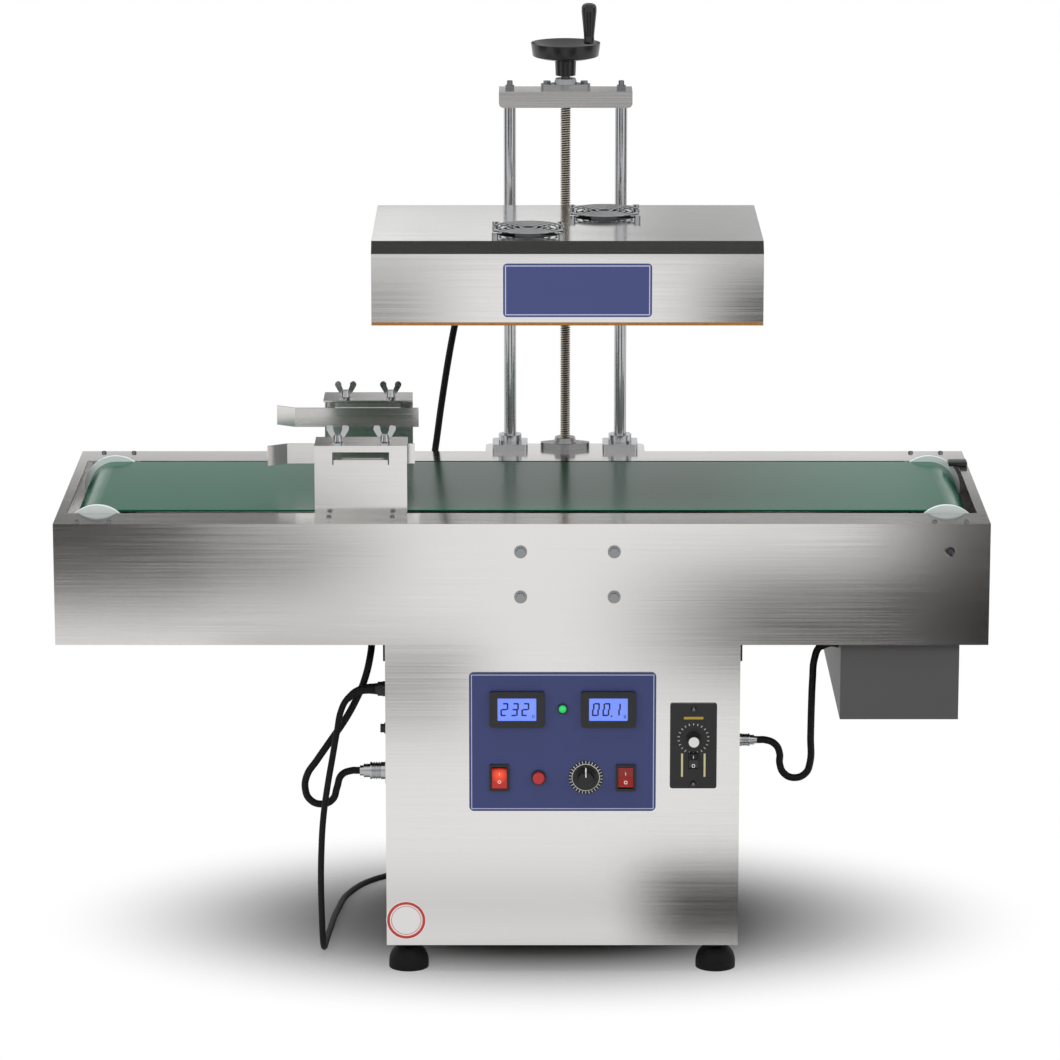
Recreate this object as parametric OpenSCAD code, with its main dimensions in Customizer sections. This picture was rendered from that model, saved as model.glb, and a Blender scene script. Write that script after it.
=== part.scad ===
// Induction cap sealer: a belt conveyor on a cabinet, with an induction head on a screw lift.
// Millimetres. X runs along the conveyor, Y to the back, Z up from the floor.

/* [Conveyor frame] */
// Length of the conveyor over its end plates
conveyor_len = 1150; // [1000:10:1500]
// Width of the conveyor over its side channels
conveyor_w = 424; // [410:2:480]
// Height of the side channels
conveyor_h = 153; // [140:1:180]
// Height of the channels' top above the floor
conveyor_top = 582; // [540:2:700]
// Sheet thickness of the frame, cabinet and head
sheet = 1.5; // [1:0.1:2.5]
// Width of a channel's top flange
top_flange = 60; // [48:1:62]
// Width of a channel's bottom flange
low_flange = 40; // [30:1:48]
// Width of an end plate's top flange
end_flange = 12; // [8:1:16]

/* [Belt and rollers] */
// Width of the belt
belt_w = 280; // [220:2:284]
// Thickness of the belt
belt_t = 2; // [1.5:0.1:3]
// Height of the belt's face above the channels
belt_rise = 1.5; // [0.5:0.1:4]
// Radius of a roller's drum
roller_r = 31.5; // [27:0.5:34]
// How far a roller's end disc stands above its drum
disc_rise = 9.5; // [6:0.5:11]
// Thickness of an end disc
disc_t = 6; // [4:0.5:6.5]
// Distance from the conveyor's end to a roller's axis
roller_inset = 49; // [48:1:70]
// Radius of a roller's shaft
shaft_r = 10; // [8:0.5:12]
// Thickness of a bearing block
block_t = 14; // [12:1:18]
// Depth of the bed's side skirts
skirt_h = 50; // [46:1:54]

/* [Drive] */
// Width of the motor box
box_w = 147; // [140:1:180]
// Height of the motor box
box_h = 103; // [98:1:130]
// Distance from the conveyor's right end to the box
box_inset = 33; // [20:1:40]
// How far the box's front is set back
box_setback = 30; // [20:1:36]
// Side of the square gearhead
gearhead = 90; // [80:1:92]
// Radius of the roller's pulley
drum_pulley_r = 25; // [20:0.5:28]
// Radius of the motor's pulley
motor_pulley_r = 18; // [14:0.5:20]
// Width of the drive pulleys between their flanges
pulley_w = 12; // [10:0.5:14]

/* [Cabinet] */
// Width of the cabinet
cabinet_w = 440; // [420:2:520]
// Height of the cabinet's feet
foot_h = 35.5; // [30:0.5:45]
// Radius of a foot's base
foot_r = 25; // [20:0.5:30]
// Distance of the cabinet's centre from the conveyor's middle
cabinet_x = 50.5; // [20:0.5:80]
// How far the cabinet's front is set back
cabinet_setback = 20; // [14:1:30]
// Depth of the cabinet
cabinet_d = 372; // [368:1:390]
// Distance of the feet from the cabinet's sides
foot_inset = 27; // [26:1:60]

/* [Control panel] */
// Width of the blue panel
panel_w = 232; // [225:1:245]
// Height of the blue panel
panel_h = 178; // [170:1:190]
// Thickness of the blue panel
panel_t = 2; // [1:0.1:3]
// Depth of the panel's top edge below the cabinet's top
panel_drop = 40; // [30:1:50]
// Width of a meter's bezel
meter_w = 68; // [60:0.5:70]
// Height of a meter's bezel
meter_h = 45; // [38:0.5:48]
// Distance of a meter from the panel's middle
meter_x = 56.7; // [50:0.1:58]
// Width of a rocker switch's frame
rocker_w = 25; // [20:0.5:27]
// Height of a rocker switch's frame
rocker_h = 34; // [28:0.5:38]
// Distance of a rocker switch from the panel's middle
rocker_x = 78.5; // [74:0.1:84]
// Radius of the reset button's cap
reset_r = 7.5; // [6:0.1:8.5]
// Radius of the power knob
knob_r = 12.5; // [10:0.1:15]
// Radius of the power knob's dial ring
dial_r = 21.5; // [18:0.1:24]
// Width of the speed controller's plate
speed_w = 58; // [52:0.5:62]
// Height of the speed controller's plate
speed_h = 109; // [100:0.5:118]
// Distance of the speed controller from the panel's middle
speed_x = 162.5; // [158:0.5:168]

/* [Lift] */
// Distance of the lift and head's centre from the conveyor's middle
lift_x = 56; // [20:0.5:80]
// Distance between the posts
post_gap = 144; // [130:1:170]
// Radius of a post
post_r = 8; // [6:0.5:10]
// Distance of the posts behind the conveyor
post_back = 25; // [24:0.5:32]
// Height of the crossbar above the channels' top
crossbar_z = 473; // [460:1:560]
// Depth of the crossbar
crossbar_d = 50; // [44:1:56]
// Height of the crossbar's front flange
crossbar_h = 21; // [16:0.5:26]
// Radius of the lead screw over its thread
screw_r = 7; // [6.5:0.1:8]
// Radius of the lead screw's plain top
journal_r = 6; // [4:0.1:6.4]
// Diameter of the handwheel
wheel_d = 90; // [80:1:110]
// Radius of the handwheel's rim section
rim_r = 9; // [7:0.5:11]
// Height of the rim's middle above the crossbar
rim_rise = 52; // [48:0.5:65]
// Length of the turning grip
grip_len = 52; // [40:1:65]

/* [Head] */
// Width of the head
head_w = 482; // [440:2:520]
// Depth of the head
head_d = 284; // [276:2:292]
// Height of the head without its base board
head_h = 99; // [90:1:115]
// Size of the bevel on the front edge
head_bevel = 14; // [8:0.5:20]
// Height of the head's base board above the channels' top
head_z = 233; // [225:1:260]
// Thickness of the base board
board_t = 4; // [3:0.5:8]
// How far the head's front is set back
head_setback = 76; // [70:1:82]
// Side of a fan
fan_w = 92; // [80:1:94]
// Thickness of a fan
fan_t = 25; // [20:0.5:32]
// Distance of the fans from the head's centre along it
fan_x = 48; // [48:0.5:80]
// Distance of the fans from the head's centre across it
fan_y = 64; // [56:0.5:80]

/* [Bottle guides] */
// Distance of the guide brackets from the conveyor's middle
guide_x = 198.5; // [190:0.5:240]
// Width of a guide bracket
bracket_w = 114; // [104:1:130]
// Height of a guide bracket
bracket_h = 88; // [80:1:96]
// Sheet thickness of the guide brackets and rails
guide_t = 2; // [1.5:0.1:3]
// How far a bracket stands in from the conveyor's side
bracket_in = 46; // [40:1:50]
// Depth of a bracket's top plate
bracket_d = 54; // [50:1:60]
// Height of a guide rail
rail_h = 25; // [20:0.5:30]
// Length of a guide rail
rail_len = 187; // [170:1:230]
// Distance between a bracket's wing screws
wing_gap = 58; // [50:0.5:66]

/* [Hidden] */
$fn = 48;

// Clearances: a running fit, and the gap between parts that pass each other
fit_gap = 0.05;
run_gap = 0.3;

// Depth: the front bolts and the back of the handwheel are the two ends
bolt_head = 4;
depth = bolt_head + conveyor_w + post_back + wheel_d / 2;
y_front = bolt_head - depth / 2;
y_back = y_front + conveyor_w;
y_mid = (y_front + y_back) / 2;
y_post = y_back + post_back;
z_top = conveyor_top;
z_low = conveyor_top - conveyor_h;
x_end = conveyor_len / 2;

// Belt loop and rollers
loop_r = roller_r + run_gap;
roller_x = x_end - roller_inset;
roller_z = z_top + belt_rise - belt_t - loop_r;
disc_gap = 0.5;
disc_r = roller_r + disc_rise;
drum_half = belt_w / 2 + disc_gap;
roller_half = drum_half + disc_t;

// Drive train, beside the rollers in the rear channel
pulley_lip = 2;
pulley_lip_rise = 3;
drive_y = y_mid + roller_half + 16;
box_x = x_end - box_inset - box_w;
box_y = y_front + box_setback;
box_d = conveyor_w - box_setback - 20;
motor_x = box_x + box_w / 2;
motor_z = z_low - box_h + sheet + gearhead / 2;
motor_len = 150;
drive_belt_t = 2.5;

// Cabinet and panel
cab_y = y_front + cabinet_setback;
cab_h = z_low - foot_h;
panel_z = z_low - panel_drop - panel_h / 2;
meter_z = panel_z + 43;
switch_z = panel_z - 45.5;
reset_x = cabinet_x - 29.7;
knob_x = cabinet_x + 28.9;
panel_y = cab_y - panel_t;
speed_z = panel_z - 5;
speed_t = 3;
speed_y = cab_y - speed_t;
speed_cx = cabinet_x + speed_x;
run_w = 18.5;
run_h = 27;
run_z = speed_z - 18.5;
speed_knob_z = speed_z + 9.5;
speed_knob_r = 9;
fitting_y = cab_y + 60;

// Lift and head
crossbar_w = post_gap + 28;
z_bar = z_top + crossbar_z;
z_rim = z_bar + rim_rise;
rim_mid_r = wheel_d / 2 - rim_r;
bearing_t = 14;
shelf_t = 3;
shelf_w = post_gap + 64;
flange_w = 46;
flange_t = 8;
boss_h = 18;
grip_angle = -34;
grip_x = lift_x + rim_mid_r * cos(grip_angle);
grip_y = y_post + rim_mid_r * sin(grip_angle);
head_y = y_front + head_setback;
head_back = head_y + head_d;
head_mid = (head_y + head_back) / 2;
z_board = z_top + head_z;
z_hood = z_board + board_t;
z_head = z_hood + head_h;
carriage_w = post_gap + 52;
carriage_h = 66;
carriage_z = z_hood + 8;
plate_t = 8;
fan_bore = fan_w / 2 - 3;
guard_lift = 4.8;
wire_r = 1.2;

// Guides
slot_w = 7;
slot_len = 36;
stud_r = 3;
rail_z = z_top + 54;
tongue_w = wing_gap + 26;
tongue_gap = 0.4;
rail_in = bracket_in + bracket_d + 1;
stud_in = bracket_in + 28;

// Rounded rectangle about its middle
module rounded(w, h, r) {
    square([w - 2 * r, h], center = true);
    square([w, h - 2 * r], center = true);
    for (sx = [-1, 1], sy = [-1, 1])
        translate([sx * (w / 2 - r), sy * (h / 2 - r)]) circle(r);
}

// An XZ outline made a plate from y0 towards the back
module plate_y(y0, t) {
    translate([0, y0 + t, 0]) rotate([90, 0, 0]) linear_extrude(t) children();
}

// A YZ outline made a bar from x0 to the right
module bar_x(x0, len) {
    translate([x0, 0, 0]) rotate([90, 0, 90]) linear_extrude(len) children();
}

// Turned shapes whose own axis runs to the back, the front, the right or the left
module to_back(p) { translate(p) rotate([-90, 0, 0]) children(); }
module to_front(p) { translate(p) rotate([90, 0, 0]) children(); }
module to_right(p) { translate(p) rotate([0, 90, 0]) children(); }
module to_left(p) { translate(p) rotate([0, -90, 0]) children(); }

// Cabinet

tie_r = 8;
tie_bolt_r = 4;
tie_half = 57.5;
tie_drops = [35, 92];
left_wall = cabinet_x - cabinet_w / 2;
right_wall = cabinet_x + cabinet_w / 2;
gland_z = z_low - 77;
gland_r = 9;
gland_len = 14;
fuse_z = z_low - 128;
coil_plug_z = z_low - 183;
coil_plug_r = 11;
coil_plug_len = 34;
motor_plug_z = z_low - 143;
motor_plug_r = 8;
motor_plug_len = 24;
fitting_hole_r = 5;
meter_deep = 32;
meter_lip = 4;
switch_deep = 18;
switch_wall = 1.5;
frame_t = 3;
pot_r = 10;
pot_len = 12;
pin_r = 3;
lamp_r = 4.5;

// Openings behind the panel's meters, switches, lamp and knob
module panel_openings() {
    for (s = [-1, 1]) {
        translate([cabinet_x + s * meter_x, meter_z])
            square([meter_w - meter_lip, meter_h - meter_lip], center = true);
        translate([cabinet_x + s * rocker_x, switch_z])
            square([rocker_w - 2, rocker_h - 2], center = true);
    }
    translate([cabinet_x, meter_z]) circle(lamp_r + run_gap);
    translate([reset_x, switch_z]) circle(reset_r + switch_wall + run_gap);
    translate([knob_x, switch_z]) circle(pin_r + 1);
}

module cabinet_shell() color("#b9babb") difference() {
    translate([left_wall, cab_y, foot_h]) difference() {
        cube([cabinet_w, cabinet_d, cab_h]);
        translate([sheet, sheet, sheet])
            cube([cabinet_w - 2 * sheet, cabinet_d, cab_h - 2 * sheet]);
    }
    plate_y(cab_y - 1, sheet + 2) panel_openings();
    plate_y(cab_y - 1, sheet + 2)
        translate([speed_cx, speed_z]) square([speed_w - 8, speed_h - 24], center = true);
    for (z = [gland_z, fuse_z, coil_plug_z])
        to_right([left_wall - 1, fitting_y, z]) cylinder(r = fitting_hole_r, h = sheet + 2);
    to_left([right_wall + 1, fitting_y, motor_plug_z]) cylinder(r = fitting_hole_r, h = sheet + 2);
}

module rear_cover() color("#b0b1b2") {
    louvre_w = 120;
    louvre_h = 5;
    louvre_step = 14;
    louvre_n = 7;
    plate_y(cab_y + cabinet_d, sheet) difference() {
        translate([cabinet_x, foot_h + cab_h / 2]) rounded(cabinet_w, cab_h, 4);
        for (s = [-1, 1], i = [0 : louvre_n - 1])
            translate([cabinet_x + s * cabinet_w / 4, foot_h + cab_h / 3 + i * louvre_step])
                rounded(louvre_w, louvre_h, louvre_h / 2 - 0.1);
    }
}

module levelling_feet() color("#1b1b1c")
    for (sx = [-1, 1], y = [cab_y + foot_inset, cab_y + cabinet_d - foot_inset])
        translate([cabinet_x + sx * (cabinet_w / 2 - foot_inset), y, 0]) rotate_extrude()
            difference() {
                union() {
                    square([foot_r, foot_h * 0.2]);
                    translate([0, foot_h * 0.2]) intersection() {
                        circle(foot_r);
                        square([foot_r, foot_h * 0.55]);
                    }
                    square([foot_r * 0.3, foot_h]);
                }
                translate([foot_r * 1.35, foot_h * 0.85]) circle(foot_r * 0.62);
            }

module control_panel() color("#1d5fb4") plate_y(panel_y, panel_t) difference() {
    translate([cabinet_x, panel_z]) rounded(panel_w, panel_h, 6);
    panel_openings();
}

module panel_meters() color("#17181a") {
    bezel_t = 6;
    screen_w = meter_w - 20;
    screen_h = meter_h - 16;
    for (s = [-1, 1]) difference() {
        union() {
            plate_y(panel_y - bezel_t, bezel_t)
                translate([cabinet_x + s * meter_x, meter_z]) rounded(meter_w, meter_h, 3);
            plate_y(panel_y, meter_deep) translate([cabinet_x + s * meter_x, meter_z])
                square([meter_w - meter_lip - 1, meter_h - meter_lip - 1], center = true);
        }
        plate_y(panel_y - bezel_t - 1, 2.5) translate([cabinet_x + s * meter_x, meter_z])
            rounded(screen_w, screen_h, 1);
    }
}

// Open-fronted frame of a rocker switch
module rocker_frame(x, z, w, h, y0) {
    difference() {
        union() {
            plate_y(y0 - frame_t, frame_t) translate([x, z]) rounded(w, h, 2);
            plate_y(y0, switch_deep) translate([x, z]) square([w - 3, h - 3], center = true);
        }
        plate_y(y0 - frame_t - 1, frame_t + switch_deep - 1)
            translate([x, z]) square([w - 3 - 2 * switch_wall, h - 3 - 2 * switch_wall], center = true);
    }
}

module panel_fittings() color("#1a1a1b") {
    for (s = [-1, 1]) rocker_frame(cabinet_x + s * rocker_x, switch_z, rocker_w, rocker_h, panel_y);
    to_back([reset_x, panel_y - frame_t, switch_z]) difference() {
        union() {
            cylinder(r = reset_r + 2, h = frame_t);
            cylinder(r = reset_r + switch_wall, h = frame_t + switch_deep);
        }
        translate([0, 0, -1]) cylinder(r = reset_r + fit_gap, h = frame_t + switch_deep - 1);
    }
    to_back([cabinet_x, panel_y - frame_t, meter_z]) {
        cylinder(r = lamp_r + 2, h = frame_t);
        cylinder(r = lamp_r, h = frame_t + pot_len);
        sphere(r = lamp_r);
    }
    to_back([knob_x, cab_y + sheet, switch_z]) difference() {
        cylinder(r = pot_r, h = pot_len);
        translate([0, 0, -1]) cylinder(r = pin_r + fit_gap, h = pot_len - 2);
    }
    plate_y(panel_y - 0.6, 0.6) translate([knob_x, switch_z]) difference() {
        circle(dial_r);
        circle(pin_r + 1);
    }
}

rocker_tilt = 8;
rocker_pivot = 3;

// Rocker with a shallow V front, tilted about its pivot
module rocker(x, z, w, h, y0, tilt) {
    half_w = (w - 3) / 2 - switch_wall - run_gap;
    half_h = (h - 3) / 2 - switch_wall - 1.6;
    translate([x - half_w, y0 + rocker_pivot, z]) rotate([tilt, 0, 0]) bar_x(0, 2 * half_w)
        polygon([
            [-rocker_pivot - frame_t + 0.6, 0], [-rocker_pivot - frame_t - 2.2, half_h],
            [0, half_h], [6, half_h * 0.45], [6, -half_h * 0.45], [0, -half_h],
            [-rocker_pivot - frame_t - 2.2, -half_h]
        ]);
}

module power_rocker() color("#d8281f")
    rocker(cabinet_x - rocker_x, switch_z, rocker_w, rocker_h, panel_y, rocker_tilt);

module start_rocker() color("#b02018")
    rocker(cabinet_x + rocker_x, switch_z, rocker_w, rocker_h, panel_y, -rocker_tilt);

module run_rocker() color("#222224") rocker(speed_cx, run_z, run_w, run_h, speed_y, -rocker_tilt);

module reset_button() color("#c8221c") {
    stand_out = 5;
    cap_round = 1.5;
    to_front([reset_x, panel_y - frame_t + 9, switch_z]) rotate_extrude() {
        square([reset_r, 9 + stand_out - cap_round]);
        square([reset_r - cap_round, 9 + stand_out]);
        translate([reset_r - cap_round, 9 + stand_out - cap_round]) circle(cap_round);
    }
}

// Fluted knob with a skirt, on a pin that turns in the piece behind it
module knob(p, r, pin_len) {
    knob_h = 16;
    to_front(p) {
        translate([0, 0, 1]) difference() {
            union() {
                cylinder(r = r, h = 3);
                cylinder(r1 = r * 0.86, r2 = r * 0.76, h = knob_h);
            }
            for (i = [0 : 11]) rotate(i * 30) translate([r * 0.96, 0, 3.5]) cylinder(r = r * 0.16, h = knob_h);
        }
        translate([0, 0, -pin_len]) cylinder(r = pin_r, h = pin_len + 2);
    }
}

module power_knob() color("#202022") knob([knob_x, panel_y, switch_z], knob_r, panel_t + sheet + 8);

module speed_controller() color("#1f2022") {
    pot_hole = 14;
    difference() {
        union() {
            plate_y(speed_y, speed_t) translate([speed_cx, speed_z]) rounded(speed_w, speed_h, 3);
            plate_y(cab_y, 40)
                translate([speed_cx, speed_z]) square([speed_w - 9, speed_h - 25], center = true);
        }
        to_back([speed_cx, speed_y - 1, speed_knob_z]) cylinder(r = pin_r + fit_gap, h = pot_hole + 1);
        plate_y(speed_y - frame_t - 1, switch_deep + 2)
            translate([speed_cx, run_z])
                square([run_w - 3 - 2 * switch_wall, run_h - 3 - 2 * switch_wall], center = true);
    }
}

module speed_knob() color("#242426") knob([speed_cx, speed_y, speed_knob_z], speed_knob_r, 10);

module side_fittings() color("#161617") {
    to_left([left_wall, fitting_y, gland_z]) {
        cylinder(r = gland_r * 1.1, h = 5, $fn = 6);
        rotate_extrude() {
            square([gland_r * 0.8, gland_len]);
            square([gland_r, gland_len - 3]);
        }
        translate([0, 0, -8]) cylinder(r = fitting_hole_r - run_gap, h = 9);
    }
    to_left([left_wall, fitting_y, fuse_z]) {
        cylinder(r = 7, h = 3);
        cylinder(r = 5.5, h = 8);
        translate([0, 0, -20]) cylinder(r = fitting_hole_r - run_gap, h = 21);
    }
}

// Round panel connector: square flange, coupling ring with grooves, and cable clamp
module connector(r, len) {
    flange_side = r * 2.45;
    linear_extrude(2) rounded(flange_side, flange_side, 2);
    rotate_extrude() difference() {
        union() {
            square([r, len * 0.62]);
            square([r * 0.78, len * 0.86]);
            square([r * 0.6, len]);
        }
        for (i = [0 : 3]) translate([r, len * 0.25 + i * len * 0.09]) circle(len * 0.03);
    }
    translate([0, 0, -10]) cylinder(r = fitting_hole_r - run_gap, h = 11);
}

module cable_connectors() color("#a9aaab") {
    to_left([left_wall, fitting_y, coil_plug_z]) connector(coil_plug_r, coil_plug_len);
    to_right([right_wall, fitting_y, motor_plug_z]) connector(motor_plug_r, motor_plug_len);
}

module inverter_board() color("#2c6b3a") {
    board_w = 300;
    board_d = 200;
    stand = 10;
    fin_n = 12;
    fin_gap = 8;
    x0 = cabinet_x - board_w / 2;
    y0 = cab_y + cabinet_d - board_d - 40;
    z0 = foot_h + sheet;
    translate([x0, y0, z0 + stand]) cube([board_w, board_d, 2]);
    for (x = [10, board_w - 10], y = [10, board_d - 10])
        translate([x0 + x, y0 + y, z0]) cylinder(r = 4, h = stand + 1);
    translate([x0 + 30, y0 + 30, z0 + stand + 1]) {
        cube([fin_n * fin_gap, board_d - 60, 8]);
        for (i = [0 : fin_n - 1]) translate([i * fin_gap, 0, 7]) cube([2, board_d - 60, 40]);
    }
    for (x = [170, 215, 260], y = [50, 110])
        translate([x0 + x, y0 + y, z0 + stand + 1]) cylinder(r = 17, h = 50);
}

// Conveyor

bed_len = 2 * (roller_x - disc_r - 6);
bed_z = z_top + belt_rise - belt_t;
block_side = 50;
slot_from = motor_x - 14;
slot_to = roller_x - 4;

// Front channel: web outside, flanges turned inwards
module channel() {
    len = conveyor_len - 2 * sheet;
    difference() {
        bar_x(-len / 2, len) {
            translate([y_front, z_low]) square([sheet, conveyor_h]);
            translate([y_front, z_top - sheet]) square([top_flange, sheet]);
            translate([y_front, z_low]) square([low_flange, sheet]);
        }
        for (s = [-1, 1], drop = tie_drops)
            to_back([lift_x + s * tie_half, y_front - 1, z_top - drop])
                cylinder(r = tie_bolt_r + run_gap, h = sheet + 2);
    }
}

// The same shape on the other side of the conveyor
module opposite() {
    translate([0, 2 * y_mid, 0]) mirror([0, 1, 0]) children();
}

module front_channel() color("#bfc0c1") channel();

module rear_channel() color("#b8b9ba") difference() {
    opposite() channel();
    translate([slot_from, drive_y - 2, z_low - 1])
        cube([slot_to - slot_from, pulley_w + 2 * pulley_lip + 4, sheet + 2]);
}

module end_plates() color("#b4b5b6")
    for (s = [0, 1]) mirror([s, 0, 0]) {
        translate([x_end - sheet, y_front, z_low]) cube([sheet, conveyor_w, conveyor_h]);
        translate([x_end - end_flange, y_front + top_flange, z_top - sheet])
            cube([end_flange, conveyor_w - 2 * top_flange, sheet]);
    }

module belt_bed() color("#9d9ea0") {
    bed_w = belt_w - 4;
    difference() {
        translate([-bed_len / 2, y_mid - bed_w / 2, bed_z - skirt_h]) difference() {
            cube([bed_len, bed_w, skirt_h]);
            translate([-1, sheet, -1]) cube([bed_len + 2, bed_w - 2 * sheet, skirt_h + 1 - sheet]);
        }
        for (s = [-1, 1])
            to_back([lift_x + s * tie_half, y_front, z_top - tie_drops[0]]) cylinder(r = tie_r, h = conveyor_w);
    }
}

module tie_bars() color("#8c8d8f")
    for (s = [-1, 1], drop = tie_drops)
        to_back([lift_x + s * tie_half, y_front, z_top - drop]) {
            translate([0, 0, sheet]) cylinder(r = tie_r, h = conveyor_w - 2 * sheet);
            translate([0, 0, -1]) cylinder(r = tie_bolt_r, h = conveyor_w + 1);
            translate([0, 0, -1.2]) cylinder(r = tie_r, h = 1.2);
            translate([0, 0, -bolt_head]) cylinder(r = tie_r * 0.72, h = bolt_head, $fn = 6);
        }

// Outline of a loop round two equal rollers
module loop_outline(r) {
    for (s = [-1, 1]) translate([s * roller_x, roller_z]) circle(r, $fn = 96);
    translate([-roller_x, roller_z - r]) square([2 * roller_x, 2 * r]);
}

module belt() color("#0f5c43") plate_y(y_mid - belt_w / 2, belt_w) difference() {
    loop_outline(loop_r + belt_t);
    loop_outline(loop_r);
}

module bearing_blocks() color("#5d6063")
    for (x = [-roller_x, roller_x], y = [y_front + sheet, y_back - sheet - block_t])
        difference() {
            translate([x - block_side / 2, y, roller_z - block_side / 2])
                cube([block_side, block_t, block_side]);
            to_back([x, y - 1, roller_z]) cylinder(r = shaft_r + fit_gap, h = block_t + 2);
        }

// Turned roller: drum between two larger end discs, bored for its shaft
module roller(x) {
    to_back([x, y_mid, roller_z]) rotate_extrude($fn = 96) difference() {
        union() {
            translate([0, -drum_half]) square([roller_r, 2 * drum_half]);
            for (y = [-roller_half, drum_half]) translate([0, y]) square([disc_r, disc_t]);
        }
        translate([0, -roller_half - 1]) square([shaft_r, 2 * roller_half + 2]);
    }
}

module drive_roller() color("#e8efee") roller(roller_x);

module idler_roller() color("#e8efee") roller(-roller_x);

// Grooved pulley with a lip on each side
module pulley(r) {
    cylinder(r = r, h = pulley_w + 2 * pulley_lip);
    for (z = [0, pulley_w + pulley_lip]) translate([0, 0, z]) cylinder(r = r + pulley_lip_rise, h = pulley_lip);
}

module shaft(x) {
    to_back([x, y_front + sheet + 0.5, roller_z]) cylinder(r = shaft_r, h = conveyor_w - 2 * sheet - 1);
}

module drive_shaft() color("#8a8c8e") {
    shaft(roller_x);
    to_back([roller_x, drive_y, roller_z]) pulley(drum_pulley_r);
}

module idler_shaft() color("#8a8c8e") shaft(-roller_x);

module motor_box() color("#6d6e70") translate([box_x, box_y, z_low - box_h]) difference() {
    cube([box_w, box_d, box_h]);
    translate([sheet, sheet, sheet]) cube([box_w - 2 * sheet, box_d - 2 * sheet, box_h]);
}

motor_shaft_r = 6;
gearhead_len = 60;
gearhead_y = drive_y - 6 - gearhead_len;

module gear_motor() color("#3d4044") {
    motor_r = gearhead / 2 - 3;
    difference() {
        union() {
            translate([motor_x - gearhead / 2, gearhead_y, motor_z - gearhead / 2])
                cube([gearhead, gearhead_len, gearhead]);
            to_front([motor_x, gearhead_y + 1, motor_z]) cylinder(r = motor_r, h = motor_len);
            to_back([motor_x, gearhead_y + gearhead_len - 1, motor_z]) cylinder(r = motor_shaft_r * 2, h = 5);
        }
        to_front([motor_x, drive_y, motor_z]) cylinder(r = motor_shaft_r + fit_gap, h = 40);
    }
}

module motor_pulley() color("#8a8c8e") {
    to_back([motor_x, drive_y, motor_z]) pulley(motor_pulley_r);
    to_front([motor_x, drive_y + 1, motor_z]) cylinder(r = motor_shaft_r, h = 36);
}

module drive_belt() color("#1c1c1d") {
    plate_y(drive_y + pulley_lip + run_gap, pulley_w - 2 * run_gap) difference() {
        drive_outline(run_gap + drive_belt_t);
        drive_outline(run_gap);
    }
}

// Outline round the two drive pulleys, a distance out from them
module drive_outline(out) {
    hull() {
        translate([roller_x, roller_z]) circle(drum_pulley_r + out);
        translate([motor_x, motor_z]) circle(motor_pulley_r + out);
    }
}

// Lift

module post_shelf() color("#b6b7b8") {
    shelf_d = post_back + flange_w / 2;
    leg_h = 80;
    corner_r = 10;
    translate([lift_x, 0, 0]) {
        translate([0, y_back, z_top - shelf_t]) linear_extrude(shelf_t) {
            translate([-shelf_w / 2, 0]) square([shelf_w, shelf_d - corner_r]);
            translate([0, shelf_d - corner_r]) rounded(shelf_w, 2 * corner_r, corner_r - 0.1);
        }
        translate([-shelf_w / 2, y_back, z_top - leg_h]) cube([shelf_w, shelf_t, leg_h]);
        for (x = [-shelf_w / 2, shelf_w / 2 - shelf_t]) bar_x(x, shelf_t)
            polygon([[y_back, z_top - leg_h], [y_back, z_top], [y_back + shelf_d - corner_r, z_top]]);
    }
}

module post_flanges() color("#c4c5c6")
    for (s = [-1, 1]) translate([lift_x + s * post_gap / 2, y_post, z_top]) difference() {
        union() {
            linear_extrude(flange_t) rounded(flange_w, flange_w - 2, 4);
            cylinder(r = post_r + 7, h = boss_h);
        }
        translate([0, 0, -1]) cylinder(r = post_r, h = boss_h + 2);
    }

module posts() color("#d0d2d3")
    for (s = [-1, 1]) translate([lift_x + s * post_gap / 2, y_post, z_top])
        cylinder(r = post_r, h = crossbar_z - sheet);

module crossbar() color("#c2c3c4") {
    corner_r = 6;
    y0 = y_post - crossbar_d / 2;
    translate([lift_x, 0, 0]) {
        difference() {
            translate([-crossbar_w / 2, y0, z_bar - sheet]) cube([crossbar_w, crossbar_d, sheet]);
            translate([0, y_post, z_bar - sheet - 1]) cylinder(r = journal_r + 2, h = sheet + 2);
        }
        for (y = [y0, y0 + crossbar_d - sheet]) plate_y(y, sheet) {
            translate([-crossbar_w / 2, z_bar - crossbar_h + corner_r])
                square([crossbar_w, crossbar_h - corner_r]);
            translate([0, z_bar - crossbar_h + corner_r]) rounded(crossbar_w, 2 * corner_r, corner_r - 0.1);
        }
    }
}

// Flange bearing: two ears on a round hub
module flange_bearing(bore) {
    ear_x = 24;
    ear_r = 8;
    hub_r = 18;
    difference() {
        union() {
            linear_extrude(bearing_t / 2) hull() {
                circle(hub_r);
                for (s = [-1, 1]) translate([s * ear_x, 0]) circle(ear_r);
            }
            cylinder(r1 = hub_r - 1, r2 = hub_r - 5, h = bearing_t);
        }
        translate([0, 0, -1]) cylinder(r = bore, h = bearing_t + 2);
    }
}

module screw_bearings() color("#9fa1a3") {
    translate([lift_x, y_post, z_top]) flange_bearing(screw_r + fit_gap);
    translate([lift_x, y_post, z_bar]) flange_bearing(journal_r + fit_gap);
}

module lead_screw() color("#8d8478") translate([lift_x, y_post, 0]) {
    thread_top = z_bar - sheet - 4;
    translate([0, 0, z_top + run_gap]) cylinder(r = screw_r, h = thread_top - z_top - run_gap);
    translate([0, 0, thread_top - 1]) cylinder(r = journal_r, h = z_rim - thread_top + 1);
}

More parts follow.
